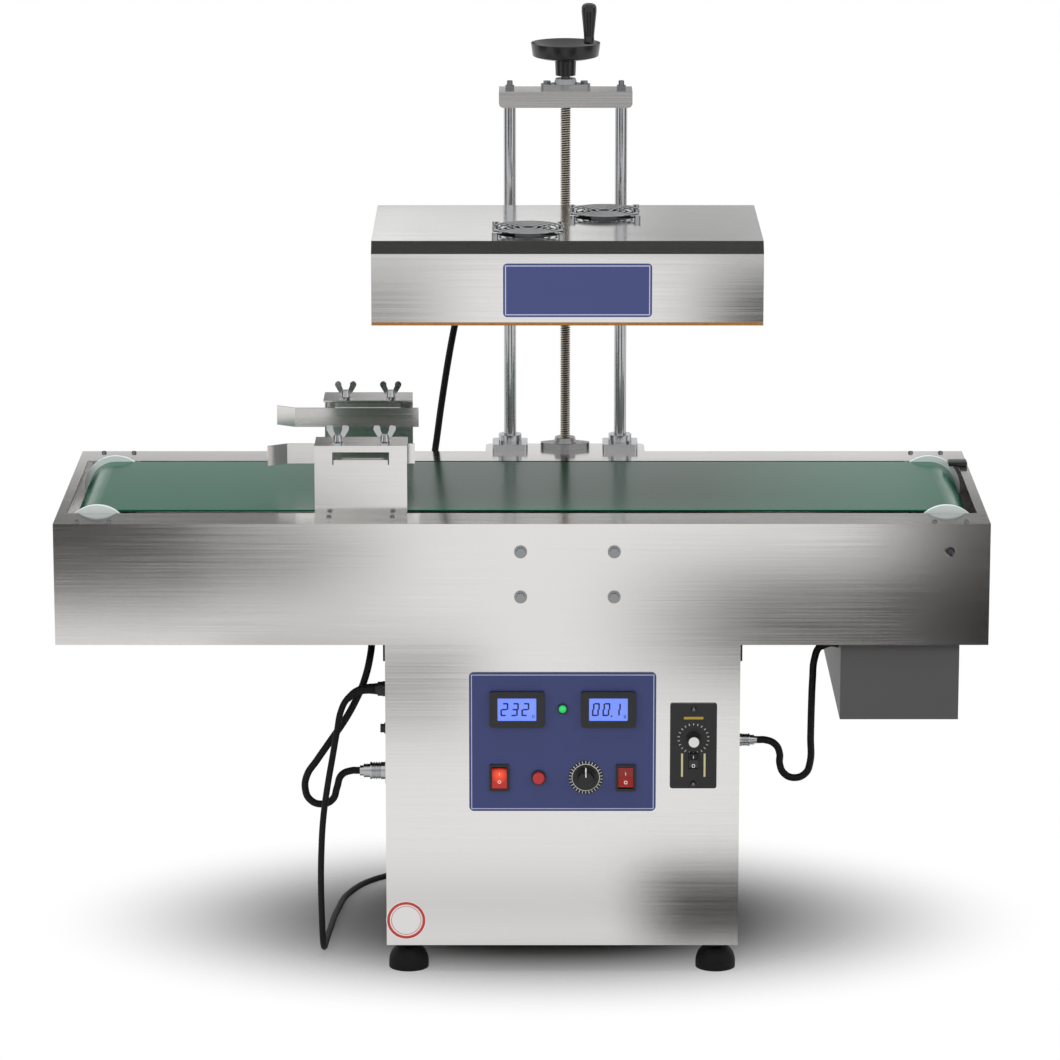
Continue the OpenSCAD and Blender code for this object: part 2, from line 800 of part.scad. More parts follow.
module handwheel() color("#161617") {
    hub_r = 14;
    web_t = 5;
    hub_z = z_bar + bearing_t + 4;
    translate([lift_x, y_post, 0]) rotate_extrude($fn = 96) difference() {
        union() {
            translate([rim_mid_r, z_rim]) circle(rim_r);
            translate([0, hub_z]) square([hub_r, z_rim - hub_z]);
            polygon([
                [hub_r - 1, z_rim - 18], [rim_mid_r, z_rim - web_t], [rim_mid_r, z_rim],
                [hub_r - 1, z_rim - 18 + web_t]
            ]);
        }
        translate([0, hub_z - 1]) square([journal_r, rim_rise + 20]);
    }
    translate([grip_x, grip_y, z_rim]) cylinder(r = pin_r, h = rim_r + grip_len - 6);
}

module grip() color("#1a1a1b") translate([grip_x, grip_y, z_rim + rim_r + run_gap]) rotate_extrude()
    difference() {
        polygon([
            [0, 0], [6.3, 0], [7, 3], [6.6, 10], [8.2, grip_len * 0.5], [9.8, grip_len - 10],
            [9.6, grip_len - 5], [8, grip_len - 1.5], [5, grip_len], [0, grip_len]
        ]);
        square([pin_r + fit_gap, grip_len - 5]);
    }

// Head

// Head's section with its front bevel, a distance inside the outer face
module hood_section(in, drop) {
    bevel_in = in * (sqrt(2) - 1);
    polygon([
        [head_y + in, z_hood - drop], [head_y + in, z_head - head_bevel - bevel_in],
        [head_y + head_bevel + bevel_in, z_head - in], [head_back - in, z_head - in],
        [head_back - in, z_hood - drop]
    ]);
}

module head_hood() color("#c3c4c5") difference() {
    bar_x(lift_x - head_w / 2, head_w) hood_section(0, 0);
    bar_x(lift_x - head_w / 2 + sheet, head_w - 2 * sheet) hood_section(sheet, 1);
    for (s = [-1, 1])
        translate([lift_x + s * fan_x, head_mid + s * fan_y, z_head - sheet - 1])
            cylinder(r = fan_bore, h = sheet + 2);
}

module head_board() color("#8a5a2c")
    translate([lift_x - head_w / 2, head_y, z_board]) cube([head_w, head_d, board_t]);

module induction_coil() color("#a8602c") {
    coil_w = head_w - 80;
    coil_d = head_d - 120;
    coil_t = 14;
    band = 34;
    corner = 60;
    core_n = 6;
    core_w = 20;
    translate([lift_x, head_mid, z_hood]) {
        linear_extrude(coil_t) difference() {
            rounded(coil_w, coil_d, corner);
            rounded(coil_w - 2 * band, coil_d - 2 * band, corner - band);
        }
        for (i = [0 : core_n - 1])
            translate([(i - (core_n - 1) / 2) * (coil_w - 2 * corner) / core_n - core_w / 2, -coil_d / 2, coil_t - 1])
                cube([core_w, coil_d, 13]);
    }
}

bush_r = post_r + 4;
nut_r = screw_r + 6;

module carriage() color("#a6a8aa") {
    reach = y_post + 22 - head_back;
    difference() {
        translate([lift_x - carriage_w / 2, head_back, carriage_z]) {
            cube([carriage_w, plate_t, carriage_h]);
            for (z = [0, carriage_h - plate_t]) translate([0, 0, z]) cube([carriage_w, reach, plate_t]);
            for (x = [0, carriage_w - plate_t]) translate([x, 0, 0]) cube([plate_t, reach / 2, carriage_h]);
        }
        for (s = [-1, 1]) translate([lift_x + s * post_gap / 2, y_post, carriage_z - 1])
            cylinder(r = bush_r, h = carriage_h + 2);
        translate([lift_x, y_post, carriage_z - 1]) cylinder(r = nut_r, h = carriage_h + 2);
    }
}

// Flanged bush that hangs in the carriage's plates
module bush(outer, bore) {
    lip = 4;
    difference() {
        union() {
            cylinder(r = outer, h = carriage_h);
            translate([0, 0, -lip]) cylinder(r = outer + 5, h = lip);
        }
        translate([0, 0, -lip - 1]) cylinder(r = bore, h = carriage_h + lip + 2);
    }
}

module lift_bushes() color("#b08d4a") translate([lift_x, y_post, carriage_z]) {
    for (s = [-1, 1]) translate([s * post_gap / 2, 0, 0]) bush(bush_r, post_r + fit_gap);
    bush(nut_r, screw_r + fit_gap);
}

fan_z = z_head - sheet - fan_t;
fan_hub_r = 17;
spider_t = 4;

// Children set at each fan's middle
module at_fan(s) {
    translate([lift_x + s * fan_x, head_mid + s * fan_y, 0]) children();
}

module fan_frames() color("#1d1d1f")
    for (s = [-1, 1]) at_fan(s) translate([0, 0, fan_z]) difference() {
        union() {
            linear_extrude(fan_t) difference() {
                rounded(fan_w, fan_w, 4);
                circle(fan_bore);
            }
            cylinder(r = fan_hub_r, h = spider_t);
            for (i = [0 : 2]) rotate(i * 120 + 30) translate([0, -3, 0]) cube([fan_bore + 1, 6, spider_t]);
        }
        translate([0, 0, 1]) cylinder(r = pin_r + fit_gap, h = spider_t);
    }

// Rotor with seven raked blades on a hub that turns on its pin
module rotor() {
    blade_n = 7;
    blade_t = 1.6;
    rake = 32;
    hub_h = fan_t - spider_t - 3;
    blade_r = fan_bore - 2;
    translate([0, 0, fan_z + spider_t + run_gap]) {
        cylinder(r = fan_hub_r, h = hub_h);
        intersection() {
            for (i = [0 : blade_n - 1]) rotate(i * 360 / blade_n) translate([0, 0, hub_h / 2])
                rotate([rake, 0, 0]) translate([fan_hub_r - 3, -13, -blade_t / 2])
                    cube([fan_bore, 26, blade_t]);
            translate([0, 0, 0.5]) cylinder(r = blade_r, h = hub_h - 1);
        }
        translate([0, 0, -spider_t + 1]) cylinder(r = pin_r, h = spider_t);
    }
}

module left_rotor() color("#232325") at_fan(-1) rotor();

module right_rotor() color("#232325") at_fan(1) rotor();

module fan_guards() color("#d2d4d6") {
    ring_n = 5;
    inner_r = 10;
    corner_in = 5;
    foot_at = (fan_w / 2 - corner_in) * sqrt(2);
    for (s = [-1, 1]) at_fan(s) translate([0, 0, z_head]) {
        for (i = [0 : ring_n - 1])
            translate([0, 0, guard_lift + wire_r]) rotate_extrude($fn = 64)
                translate([inner_r + i * (fan_w / 2 - inner_r - 2) / (ring_n - 1), 0]) circle(wire_r, $fn = 16);
        for (a = [45 : 90 : 315]) rotate(a) {
            translate([inner_r - 1, 0, guard_lift]) rotate([0, 90, 0])
                cylinder(r = wire_r, h = foot_at - inner_r + 1, $fn = 16);
            translate([foot_at, 0, 0]) cylinder(r = 4, h = guard_lift + wire_r * 1.5);
        }
    }
}

// Bottle guides

tongue_z = z_top + bracket_h - 2 * guide_t - tongue_gap;

// Front bracket: foot, lanced web, returned sides and slotted top plate
module bracket() {
    foot_d = 24;
    side_d = 14;
    lance_w = 70;
    lance_h = 12;
    lance_z = bracket_h - 20;
    cut_w = 1.6;
    y0 = y_front + bracket_in;
    translate([-guide_x, 0, 0]) difference() {
        union() {
            translate([-bracket_w / 2, y0 - foot_d, z_top]) cube([bracket_w, foot_d + guide_t, guide_t]);
            translate([-bracket_w / 2, y0, z_top]) cube([bracket_w, guide_t, bracket_h]);
            translate([-bracket_w / 2, y0, z_top + bracket_h - guide_t]) cube([bracket_w, bracket_d, guide_t]);
            for (x = [-bracket_w / 2, bracket_w / 2 - guide_t])
                translate([x, y0, z_top + guide_t]) cube([guide_t, side_d, bracket_h - guide_t]);
            translate([-lance_w / 2 + cut_w, y0, z_top + lance_z])
                cube([lance_w - 2 * cut_w, side_d, guide_t]);
        }
        translate([-lance_w / 2, y0 - 1, z_top + lance_z + guide_t])
            cube([lance_w, guide_t + 2, lance_h - guide_t]);
        for (s = [-1, 1]) {
            translate([s * (lance_w - cut_w) / 2 - cut_w / 2, y0 - 1, z_top + lance_z - 4])
                cube([cut_w, guide_t + 2, 7]);
            translate([s * wing_gap / 2, y_front + stud_in + 3, z_top + bracket_h - guide_t - 1])
                linear_extrude(guide_t + 2) rotate(90) rounded(slot_len, slot_w, slot_w / 2 - 0.05);
        }
    }
}

module guide_brackets() color("#c0c1c2") {
    bracket();
    opposite() bracket();
}

// Front rail: upright plate with a flared entry, on a tongue under the bracket's top plate
module rail() {
    flare_len = 28;
    flare_angle = 32;
    rail_mid = -guide_x - 28;
    x0 = rail_mid - rail_len / 2;
    y0 = y_front + rail_in;
    translate([x0 + flare_len, y0, rail_z]) cube([rail_len - flare_len, guide_t, rail_h]);
    translate([x0 + flare_len, y0 + guide_t, rail_z]) rotate(180 + flare_angle) cube([flare_len, guide_t, rail_h]);
    translate([-guide_x - tongue_w / 2, y0 - guide_t, rail_z + 4])
        cube([tongue_w, guide_t, tongue_z + guide_t - rail_z - 4]);
    difference() {
        translate([-guide_x - tongue_w / 2, y_front + stud_in - 12, tongue_z])
            cube([tongue_w, rail_in - stud_in + 12, guide_t]);
        for (s = [-1, 1]) translate([-guide_x + s * wing_gap / 2, y_front + stud_in, tongue_z - 1])
            cylinder(r = stud_r + fit_gap, h = guide_t + 2);
    }
}

module front_rail() color("#c6c7c8") rail();

module rear_rail() color("#c6c7c8") opposite() rail();

// Wing screw: stud through the slot, round hub and two raised wings
module wing_screw(s) {
    hub_h = 8;
    stud_low = 5;
    hub_z = z_top + bracket_h + run_gap;
    translate([-guide_x + s * wing_gap / 2, y_front + stud_in, 0]) {
        translate([0, 0, tongue_z - stud_low])
            cylinder(r = stud_r, h = hub_z + 1 - tongue_z + stud_low);
        translate([0, 0, hub_z]) cylinder(r1 = 6.5, r2 = 5, h = hub_h);
        for (side = [0, 1]) mirror([side, 0, 0]) translate([0, 1.25, hub_z + 1]) rotate([90, 0, 0])
            linear_extrude(2.5) {
                polygon([[3, 0], [6, 0], [13, 12], [11, 17], [7, 17], [3, 7]]);
                translate([9.6, 14.6]) circle(4.2);
            }
    }
}

module front_wing_left() color("#cfd0d1") wing_screw(-1);

module front_wing_right() color("#cfd0d1") wing_screw(1);

module rear_wing_left() color("#cfd0d1") opposite() wing_screw(-1);

module rear_wing_right() color("#cfd0d1") opposite() wing_screw(1);

// Cords

cable_r = 4.5;
mains_r = 4;
tube_sides = 10;
coil_mid = [left_wall + 199.5, fitting_y + 351];
coil_in_r = 34;
coil_out_r = 50.5;
coil_h = 16.6;
plug_at = coil_mid + [58.6, 42];

// Head cable: from the head's back, down behind the conveyor and along the cabinet to its connector
touch = 0.02;
hx = lift_x - 128;
cab_back = cab_y + cabinet_d;
coil_end = left_wall - coil_plug_len;
head_route = [
    [hx, head_back + run_gap, z_hood + 25], [hx, head_back + 5, z_hood + 25], [hx, head_back + 10, z_hood + 25],
    [hx - 0.5, head_back + 24, z_hood + 21.5], [hx - 2, head_back + 36, z_hood + 11],
    [hx - 5, head_back + 47, z_hood - 6], [hx - 10, y_post - 27, z_hood - 39], [hx - 23, y_post - 11, z_top + 128],
    [hx - 34, y_post - 4, z_top + 58], [hx - 42, y_post - 2, z_top], [hx - 52, y_post - 3, z_top - 62],
    [hx - 68, y_post - 7, z_low + 26], [left_wall + 9.5, cab_back + 35, z_low - 17],
    [left_wall - 8.5, cab_back + 3, z_low - 25], [left_wall - 22.5, cab_y + 315, z_low - 25],
    [left_wall - 28.5, cab_y + 245, z_low - 24], [left_wall - 26.5, cab_y + 175, z_low - 24],
    [left_wall - 20.5, cab_y + 120, z_low - 25], [left_wall - 20.5, cab_y + 87, z_low - 39],
    [left_wall - 28.5, cab_y + 75, z_low - 71], [left_wall - 38.5, cab_y + 71, z_low - 94],
    [left_wall - 52.5, cab_y + 67, z_low - 119], [left_wall - 70.5, cab_y + 64, z_low - 145],
    [left_wall - 88.5, cab_y + 62, z_low - 171], [coil_end - 66.5, fitting_y, coil_plug_z - 6],
    [coil_end - 69, fitting_y, coil_plug_z - 24], [coil_end - 63.1, fitting_y, coil_plug_z - 38.1],
    [coil_end - 49, fitting_y, coil_plug_z - 44], [coil_end - 34.9, fitting_y, coil_plug_z - 38.1],
    [coil_end - 29, fitting_y, coil_plug_z - 22], [coil_end - 23.1, fitting_y, coil_plug_z - 5.9],
    [coil_end - 9, fitting_y, coil_plug_z], [coil_end - 4.5, fitting_y, coil_plug_z],
    [coil_end - touch, fitting_y, coil_plug_z]
];

// Mains lead: from the gland down to the floor and round behind the cabinet
floor_z = mains_r + 1;
gland_end = left_wall - gland_len;
mains_route = [
    [gland_end - touch, fitting_y, gland_z], [gland_end - 4, fitting_y, gland_z],
    [gland_end - 8, fitting_y, gland_z], [gland_end - 23.2, fitting_y - 1, gland_z - 3.4],
    [gland_end - 35.6, fitting_y - 3.5, gland_z - 12.9], [gland_end - 43, fitting_y - 7, gland_z - 27],
    [gland_end - 48, fitting_y - 12, gland_z - 52], [gland_end - 53.5, fitting_y - 18, gland_z - 83],
    [gland_end - 60, fitting_y - 23, gland_z - 120], [gland_end - 65.5, fitting_y - 26, gland_z - 160],
    [gland_end - 68.5, fitting_y - 26, 145], [gland_end - 69.5, fitting_y - 21, 100],
    [gland_end - 69, fitting_y - 16, 60], [gland_end - 68.5, fitting_y - 8, 31],
    [gland_end - 68, fitting_y + 8, 12.5], [gland_end - 67.5, fitting_y + 31, floor_z + 1],
    [gland_end - 66.5, fitting_y + 58, floor_z], [gland_end - 63.5, fitting_y + 105, floor_z],
    [gland_end - 57, fitting_y + 185, floor_z], [gland_end - 42.5, fitting_y + 265, floor_z],
    [gland_end - 8.5, fitting_y + 325, floor_z], [left_wall + 39.5, fitting_y + 365, floor_z],
    [left_wall + 99.5, fitting_y + 392, floor_z], [left_wall + 149.5, fitting_y + 403, floor_z],
    [left_wall + 192.5, fitting_y + 405.5, floor_z]
];

// Motor cable: from its connector in a low loop up to the motor box
loop_x = right_wall + motor_plug_len;
loop_span = box_x - loop_x;
motor_line = [
    [0, motor_plug_z], [0.045, motor_plug_z], [0.09, motor_plug_z], [0.23, motor_plug_z - 5.9],
    [0.288, motor_plug_z - 18], [0.289, motor_plug_z - 30.5], [0.345, motor_plug_z - 43.9],
    [0.478, motor_plug_z - 49.5], [0.611, motor_plug_z - 43.9], [0.667, motor_plug_z - 30.5],
    [0.672, motor_plug_z + 4], [0.677, z_low - 99], [0.687, z_low - 64], [0.707, z_low - 38],
    [0.771, z_low - 22.5], [0.905, z_low - 16], [0.955, z_low - 16], [1, z_low - 16]
];
motor_route = [for (p = motor_line) [loop_x + touch + (loop_span - 2 * touch) * p.x, fitting_y, p.y]];

function unit(v) = v / norm(v);

// Point on a smooth curve through four neighbours, t from the second to the third
function between(a, b, c, d, t) =
    (2 * b + (c - a) * t + (2 * a - 5 * b + 4 * c - d) * t * t + (3 * b - a - 3 * c + d) * t * t * t) / 2;

// Smooth line through a route's points, with some steps between each two
function smooth(p, steps) = let(n = len(p) - 1) [
    for (i = [0 : n - 1], k = [0 : steps - 1])
        between(p[max(i - 1, 0)], p[i], p[i + 1], p[min(i + 2, n)], k / steps),
    p[n]
];

function heading(p, i) = unit(p[min(i + 1, len(p) - 1)] - p[max(i - 1, 0)]);

function upright(v, t) = unit(v - t * (v * t));

// Sideways direction at each ring, carried along so that the tube doesn't twist
function sideways(p, first) = [
    for (i = 0, v = upright(first, heading(p, 0)); i < len(p);
         i = i + 1, v = i < len(p) ? upright(v, heading(p, i)) : v) v
];

module tube(points, r, first) {
    side = sideways(points, first);
    n = tube_sides;
    rings = len(points);
    verts = [
        for (i = [0 : rings - 1], k = [0 : n - 1])
            let(t = heading(points, i), b = cross(t, side[i]), a = 360 * k / n)
                points[i] + r * (side[i] * cos(a) + b * sin(a))
    ];
    walls = [
        for (i = [0 : rings - 2], k = [0 : n - 1])
            [i * n + k, (i + 1) * n + k, (i + 1) * n + (k + 1) % n, i * n + (k + 1) % n]
    ];
    near_end = [for (k = [0 : n - 1]) k];
    far_end = [for (k = [n - 1 : -1 : 0]) (rings - 1) * n + k];
    polyhedron(points = verts, faces = concat(walls, [near_end, far_end]));
}

module head_cable() color("#161617") tube(smooth(head_route, 2), cable_r, [1, 0, 0]);

module motor_cable() color("#161617") tube(smooth(motor_route, 2), cable_r, [0, 1, 0]);

module mains_lead() color("#161617") tube(smooth(mains_route, 2), mains_r, [0, 1, 0]);

module mains_coil() color("#161617") translate([coil_mid.x, coil_mid.y, 0.5]) rotate_extrude()
    translate([coil_in_r, 0]) square([coil_out_r - coil_in_r, coil_h]);

module mains_plug() color("#1a1a1b") translate([plug_at.x, plug_at.y, 0]) {
    pin_len = 18;
    body = [42, 36, 24];
    bar_x(0, body.x) translate([0, body.z / 2]) rounded(body.y, body.z, 6);
    for (y = [-6.5, 6.5]) to_right([body.x - 1, y, body.z / 2]) cylinder(r = 2.4, h = pin_len + 1);
    to_right([-24, 0, body.z / 2]) cylinder(r1 = mains_r + 1, r2 = mains_r + 4, h = 25);
}

cabinet_shell();
rear_cover();
levelling_feet();
control_panel();
panel_meters();
panel_fittings();
power_rocker();
start_rocker();
reset_button();
power_knob();
speed_controller();
speed_knob();
run_rocker();
side_fittings();
cable_connectors();
inverter_board();
front_channel();
rear_channel();
end_plates();
belt_bed();
tie_bars();
belt();
bearing_blocks();
drive_roller();
drive_shaft();
idler_roller();
idler_shaft();
motor_box();
gear_motor();
motor_pulley();
drive_belt();
post_shelf();
post_flanges();
posts();
crossbar();
screw_bearings();
lead_screw();
handwheel();
grip();
head_hood();
head_board();
induction_coil();
carriage();
lift_bushes();
fan_frames();
fan_guards();
left_rotor();
right_rotor();
guide_brackets();
front_rail();
rear_rail();
front_wing_left();
front_wing_right();
rear_wing_left();
rear_wing_right();
mains_lead();
mains_coil();
mains_plug();
motor_cable();
head_cable();
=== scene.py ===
"""Looks of the induction cap sealer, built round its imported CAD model."""

import math

import bmesh
import bpy
from mathutils import Matrix, Vector
from mathutils.geometry import interpolate_bezier


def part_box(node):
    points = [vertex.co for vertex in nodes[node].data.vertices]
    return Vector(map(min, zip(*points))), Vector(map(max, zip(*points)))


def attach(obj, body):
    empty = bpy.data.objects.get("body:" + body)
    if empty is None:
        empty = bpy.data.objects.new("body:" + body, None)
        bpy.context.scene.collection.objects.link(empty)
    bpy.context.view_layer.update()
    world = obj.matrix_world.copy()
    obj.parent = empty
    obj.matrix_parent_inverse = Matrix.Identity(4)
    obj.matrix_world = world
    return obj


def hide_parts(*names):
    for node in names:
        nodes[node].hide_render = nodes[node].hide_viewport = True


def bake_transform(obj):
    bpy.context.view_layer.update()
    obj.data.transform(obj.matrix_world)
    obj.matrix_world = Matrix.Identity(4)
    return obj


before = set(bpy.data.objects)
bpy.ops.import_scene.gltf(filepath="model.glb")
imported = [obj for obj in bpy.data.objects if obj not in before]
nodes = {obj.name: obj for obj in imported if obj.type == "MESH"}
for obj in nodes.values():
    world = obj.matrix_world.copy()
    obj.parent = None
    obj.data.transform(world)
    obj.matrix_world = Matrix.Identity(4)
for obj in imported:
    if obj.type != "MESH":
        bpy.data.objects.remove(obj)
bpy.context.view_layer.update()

# The photograph's view: a long lens a few metres in front, a little above the head and tilted down.
# The machine's sizes are written in millimetres, and the studio's in metres.
mm = 0.001
camera_place = Vector((10.05, -6215.3, 1960.8)) * mm
camera_pitch = math.radians(13.0724)
focal_px = 5000
photo_px = 1060

camera_data = bpy.data.cameras.new("photo_view")
camera_data.sensor_width = 36
camera_data.lens = focal_px / photo_px * camera_data.sensor_width
camera_data.clip_end = 100
camera = bpy.data.objects.new("photo_view", camera_data)
camera.location = camera_place
camera.rotation_euler = (math.pi / 2 - camera_pitch, 0, 0)
bpy.context.collection.objects.link(camera)
bpy.context.scene.camera = camera
bpy.context.scene.view_settings.view_transform = "Standard"


# Studio: a white sweep, soft boxes above and beside the machine, and dark cards that stand all round it, hang
# over it and lie at its foot. Only reflections see the cards, and they give the steel its slow change from
# light to dark.
def srgb(code):
    """Colour of a hex code, in linear light."""
    parts = [int(code[i : i + 2], 16) / 255 for i in (1, 3, 5)]
    return [p / 12.92 if p <= 0.04045 else ((p + 0.055) / 1.055) ** 2.4 for p in parts] + [1]


def add(tree, kind, inputs=None, **settings):
    """Adds a node: settings are its own, and each input takes a value or another node's output."""
    made = tree.nodes.new("ShaderNode" + kind)
    for name, value in settings.items():
        setattr(made, name, value)
    for name, value in (inputs or {}).items():
        if isinstance(value, bpy.types.NodeSocket):
            tree.links.new(value, made.inputs[name])
        else:
            made.inputs[name].default_value = value
    return made


sky_light = 0.26
world = bpy.data.worlds.new("studio")
bpy.context.scene.world = world
world.use_nodes = True
sky = world.node_tree
sky.nodes.clear()
paths = add(sky, "LightPath").outputs
seen = paths["Is Camera Ray"]
for ray in ("Is Glossy Ray", "Is Transmission Ray"):
    seen = add(sky, "Math", {0: seen, 1: paths[ray]}, operation="MAXIMUM").outputs[0]
strength = add(sky, "MapRange", {"Value": seen, "To Min": sky_light, "To Max": 1.0})
backdrop = add(sky, "Background", {"Color": srgb("#ffffff"), "Strength": strength.outputs[0]})
add(sky, "OutputWorld", {"Surface": backdrop.outputs[0]})

# The floor is a grey patch round the machine that fades to clear, showing the white world beyond: a painted
# shadow under the machine, added to the shadows the lamps cast.
floor_half = 30
shadow_half_width, shadow_half_depth = 0.66, 0.42
shadow_shift = 0.04  # to the right, as a share of the half width
shadow_full = 0.3  # share of the way to the edge at which the patch starts to fade
floor_mesh = bmesh.new()
bmesh.ops.create_grid(floor_mesh, x_segments=1, y_segments=1, size=floor_half)
floor_data = bpy.data.meshes.new("floor")
floor_mesh.to_mesh(floor_data)
floor_mesh.free()
floor = bpy.data.objects.new("floor", floor_data)
bpy.context.collection.objects.link(floor)
floor_paint = bpy.data.materials.new("studio_floor")
floor_paint.use_nodes = True
tree = floor_paint.node_tree
tree.nodes.clear()
shadow_grey = add(tree, "BsdfDiffuse", {"Color": srgb("#868686")})
spread = add(
    tree,
    "Mapping",
    {
        "Vector": add(tree, "TexCoord").outputs["Object"],
        "Location": (-shadow_shift, 0, 0),
        "Scale": (1 / shadow_half_width, 1 / shadow_half_depth, 1),
    },
)
reach = add(tree, "VectorMath", {0: spread.outputs[0]}, operation="LENGTH")
gone = add(
    tree,
    "MapRange",
    {"Value": reach.outputs["Value"], "From Min": shadow_full, "From Max": 1.0},
    interpolation_type="SMOOTHSTEP",
)
open_air = add(tree, "BsdfTransparent")
fading = add(tree, "MixShader", {0: gone.outputs[0], 1: shadow_grey.outputs[0], 2: open_air.outputs[0]})
add(tree, "OutputMaterial", {"Surface": fading.outputs[0]})
floor_data.materials.append(floor_paint)


def soft_box(name, place, aim, width, height, power):
    """Rectangular lamp turned towards a point."""
    lamp = bpy.data.lights.new(name, "AREA")
    lamp.shape = "RECTANGLE"
    lamp.size = width
    lamp.size_y = height
    lamp.energy = power
    lamp_object = bpy.data.objects.new(name, lamp)
    lamp_object.location = place
    lamp_object.rotation_euler = (Vector(aim) - Vector(place)).to_track_quat("-Z", "Y").to_euler()
    lamp_object.visible_glossy = False
    bpy.context.collection.objects.link(lamp_object)


soft_box("overhead_box", (0.1, -0.2, 3.4), aim=(0, 0, 0.5), width=2.2, height=1.6, power=105)
soft_box("left_box", (-3.0, -2.4, 2.2), aim=(0, 0, 0.6), width=1.6, height=2.2, power=40)
soft_box("right_box", (3.0, -2.0, 1.8), aim=(0, 0, 0.6), width=1.4, height=2.0, power=25)
soft_box("front_box", (-0.8, -5.0, 2.4), aim=(0, 0, 0.5), width=2.0, height=1.5, power=95)


def dark_card(name, low, high, fade, darkness):
    """Dark card between two corners, flat along one axis, with a soft edge of a width along each axis."""
    low, high = Vector(low), Vector(high)
    thin = 0.001
    bm = bmesh.new()
    bmesh.ops.create_grid(bm, x_segments=1, y_segments=1, size=0.5)
    if low.y == high.y:
        bmesh.ops.rotate(bm, matrix=Matrix.Rotation(math.pi / 2, 3, "X"), verts=bm.verts)
    if low.x == high.x:
        bmesh.ops.rotate(bm, matrix=Matrix.Rotation(math.pi / 2, 3, "Y"), verts=bm.verts)
    bmesh.ops.scale(bm, vec=[max(edge, thin) for edge in high - low], verts=bm.verts)
    bmesh.ops.translate(bm, vec=(low + high) / 2, verts=bm.verts)
    data = bpy.data.meshes.new(name)
    bm.to_mesh(data)
    bm.free()
    card = bpy.data.objects.new(name, data)
    bpy.context.collection.objects.link(card)
    card.visible_camera = False
    card.visible_diffuse = False
    card.visible_shadow = False
    paint = bpy.data.materials.new(name)
    paint.use_nodes = True
    tree = paint.node_tree
    tree.nodes.clear()
    place = add(tree, "SeparateXYZ", {0: add(tree, "TexCoord").outputs["Object"]})
    cover = darkness
    for axis, near, far, blur in zip("XYZ", low, high, fade):
        if near == far:
            continue
        for edge, inner in ((near, near + blur), (far, far - blur)):
            ramp = add(
                tree,
                "MapRange",
                {"Value": place.outputs[axis], "From Min": edge, "From Max": inner},
                interpolation_type="SMOOTHSTEP",
            )
            cover = add(tree, "Math", {0: cover, 1: ramp.outputs[0]}, operation="MULTIPLY").outputs[0]
    clear = add(tree, "BsdfTransparent")
    black = add(tree, "Emission", {"Color": srgb("#141312"), "Strength": 1.0})
    mix = add(tree, "MixShader", {0: cover, 1: clear.outputs[0], 2: black.outputs[0]})
    add(tree, "OutputMaterial", {"Surface": mix.outputs[0]})
    data.materials.append(paint)


# Each card is named for the sheet that mirrors it or for the side it stands on.
dark_card("conveyor_left_card", (-1.4, -1.5, 0.12), (-0.1, -1.5, 0.38), (0.3, 0, 0.15), 1.0)
dark_card("far_left_card", (-1.5, -1.52, 0.11), (-0.42, -1.52, 1.0), (0.12, 0, 0.12), 0.9)
dark_card("conveyor_right_card", (0.05, -1.5, 0.02), (1.4, -1.5, 0.25), (0.35, 0, 0.06), 0.95)
dark_card("conveyor_end_card", (0.46, -1.52, -0.4), (1.4, -1.52, 0.9), (0.22, 0, 0.15), 0.92)
dark_card("head_right_card", (0.2, -1.5, 0.44), (0.8, -1.5, 0.69), (0.16, 0, 0.08), 1.0)
dark_card("head_left_card", (-0.6, -1.5, 0.44), (-0.06, -1.5, 0.69), (0.14, 0, 0.08), 0.6)
dark_card("crossbar_card", (-0.4, -1.5, 0.69), (0.5, -1.5, 0.95), (0.1, 0, 0.05), 0.7)
dark_card("crossbar_top_card", (-0.2, 0.9, 1.13), (0.35, 0.9, 1.4), (0.05, 0, 0.04), 0.75)
dark_card("cabinet_side_card", (0.1, -0.8, 0.003), (0.7, -0.2, 0.003), (0.12, 0.25, 0), 0.9)
dark_card("cabinet_low_card", (-0.6, -0.8, 0.004), (0.6, -0.2, 0.004), (0.1, 0.35, 0), 0.25)
dark_card("cabinet_top_card", (-0.5, -1.5, -0.05), (-0.02, -1.5, 0.13), (0.1, 0, 0.05), 0.6)
dark_card("overhead_card", (-1.5, -1.1, 2.6), (1.5, -0.05, 2.6), (0.15, 0.12, 0), 0.95)
dark_card("left_side_card", (-2.4, -1.0, 0.2), (-2.4, 0.9, 1.6), (0, 0.3, 0.3), 0.85)
dark_card("right_side_card", (2.4, -1.0, 0.2), (2.4, 0.9, 1.6), (0, 0.3, 0.3), 0.85)
dark_card("head_top_card", (0.02, 2.0, 1.2), (1.3, 2.0, 1.75), (0.25, 0, 0.05), 0.5)
dark_card("left_flange_card", (-1.9, 2.02, 0.97), (-0.24, 2.02, 1.7), (0.12, 0, 0.06), 0.75)
dark_card("right_flange_card", (0.62, 2.02, 0.97), (1.9, 2.02, 1.7), (0.12, 0, 0.06), 0.7)
dark_card("back_left_card", (-2.2, 1.5, -0.4), (-0.1, 1.5, 0.26), (0.7, 0, 0.2), 0.6)
dark_card("back_right_card", (0.1, 1.5, -0.2), (2.2, 1.5, 0.45), (0.7, 0, 0.25), 0.55)
dark_card("left_low_card", (-1.7, -1.4, -0.4), (-1.7, 0.2, 0.3), (0, 0.6, 0.25), 0.55)
dark_card("right_low_card", (1.7, -0.3, -0.4), (1.7, 1.4, 0.3), (0, 0.6, 0.25), 0.55)
dark_card("belt_card", (-1.8, 2.0, 1.01), (1.8, 2.0, 1.22), (0.2, 0, 0.03), 0.8)


